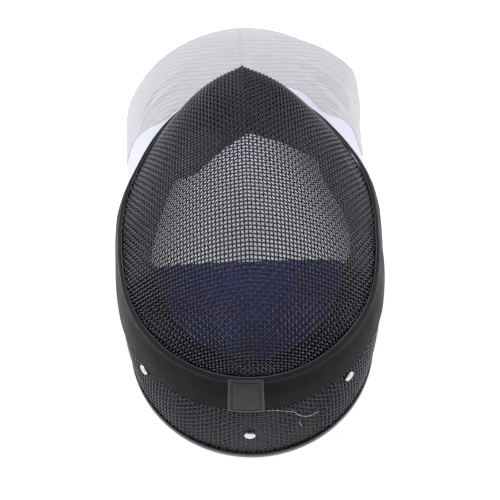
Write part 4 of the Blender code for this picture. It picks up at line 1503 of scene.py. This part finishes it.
def build_camera():
    s, c = math.sin(CAMERA_DOWN), math.cos(CAMERA_DOWN)
    st, ct = math.sin(CAMERA_TURN), math.cos(CAMERA_TURN)
    cr, sr = math.cos(CAMERA_ROLL), math.sin(CAMERA_ROLL)
    right = Vector((ct, -st, 0.0))
    up = Vector((st * s, ct * s, c))
    back = Vector((-st * c, -ct * c, s))
    turn = Matrix((right * cr - up * sr, right * sr + up * cr, back)).transposed().to_4x4()
    data = bpy.data.cameras.new("camera")
    data.lens = LENS
    data.sensor_width = 36.0
    data.clip_start = 0.05
    data.clip_end = 20.0
    made = link("camera", data)
    place = Vector(CAMERA_PLACE) - Vector((0.0, MIDDLE_Y, 0.0))
    made.matrix_world = Matrix.Translation(place) @ turn
    bpy.context.scene.camera = made


def build_studio():
    scene = bpy.context.scene
    scene.world = bpy.data.worlds.new("studio")
    scene.world.use_nodes = True
    background = scene.world.node_tree.nodes["Background"]
    background.inputs["Color"].default_value = (1.0, 1.0, 1.0, 1.0)
    background.inputs["Strength"].default_value = WORLD_LIGHT
    scene.view_settings.view_transform = "Standard"
    scene.view_settings.look = "None"
    for name, (place, aim, size, power) in SOFTBOXES.items():
        data = bpy.data.lights.new("softbox_" + name, "AREA")
        data.shape = "RECTANGLE"
        data.size, data.size_y = size
        data.energy = power
        made = link("softbox_" + name, data)
        made.location = place
        made.rotation_euler = (Vector(aim) - Vector(place)).to_track_quat("-Z", "Y").to_euler()
    build_floor()


def main():
    wire = wire_finish("wire_paint", 1.0, 0.08, 0.17)
    upright = wire_finish("upright_paint", 0.34, 0.22, 0.36)
    band = vinyl_finish()
    patch = patch_finish()
    tape = cloth_finish("tape_cloth", (0.006, 0.006, 0.007), (0.010, 0.010, 0.011), 0.0006)
    white = cloth_finish("bib_cloth", (0.78, 0.78, 0.94), (0.83, 0.83, 0.98), 0.0006, 0.8, 0.15, 0.00005)
    navy = cloth_finish(
        "navy_cloth", (0.135, 0.135, 0.430), (0.175, 0.175, 0.530), 0.0008, 0.85, 0.1, specular=0.1
    )
    lining = cloth_finish(
        "lining_cloth", (0.006, 0.006, 0.007), (0.010, 0.010, 0.012), 0.0008, 0.9, 0.0, specular=0.08
    )
    strip = cloth_finish("tongue_cloth", (0.012, 0.012, 0.013), (0.018, 0.018, 0.020), 0.0008, 0.8, 0.2)
    stitch = cloth_finish("stitch_thread", (0.014, 0.014, 0.016), (0.024, 0.024, 0.027), 0.0003, 0.7, 0.1)

    made = {}

    def place(key, piece, node, slot):
        made[key] = (piece, node, slot)

    meshes = (("front", front_lines(front_net()), wire), ("crown", crown_lines(), upright))
    for name, (warp, weft), warp_finish in meshes:
        place(name + "_warp", wire_cloth(name + "_warp", warp, warp_finish), name + "_mesh", "wire")
        place(name + "_weft", wire_cloth(name + "_weft", weft, wire), name + "_mesh", "wire")
    place("band", build_band(band), "trim_band", "band_vinyl")
    place("patch", build_patch(patch), "trim_patch", "patch_vinyl")
    place("stitches", patch_stitches(stitch), "trim_patch", "patch_vinyl")
    place("rim", build_rim(rim_finish()), "rim", "rim_plastic")
    place("tape", build_tape(tape), "rim_tape", "tape")
    place("bib", build_bib(white), "bib", "bib_cloth")
    place("lame", build_lame(lame_finish()), "bib_lame", "lame_cloth")
    place("cheeks", build_cheek_lining(lining), "cheek_lining", "lining_cloth")
    place("crown", build_crown_lining(lining), "crown_lining", "lining_cloth")
    place("pad", build_pad(navy), "forehead_pad", "navy_pad")
    place("tongue", build_tongue(strip), "tongue", "tongue_cloth")
    steel = steel_finish()
    for name, degrees, z in RIVETS:
        place(name, build_rivet(name + "_head", degrees, z, steel), name, "rivet_steel")
    for piece, node, slot in made.values():
        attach(piece, "root")
        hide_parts(node)

    thread, path = build_thread(thread_finish())
    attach(thread, "root")
    tuple(path[0])

    build_studio()
    build_camera()


main()
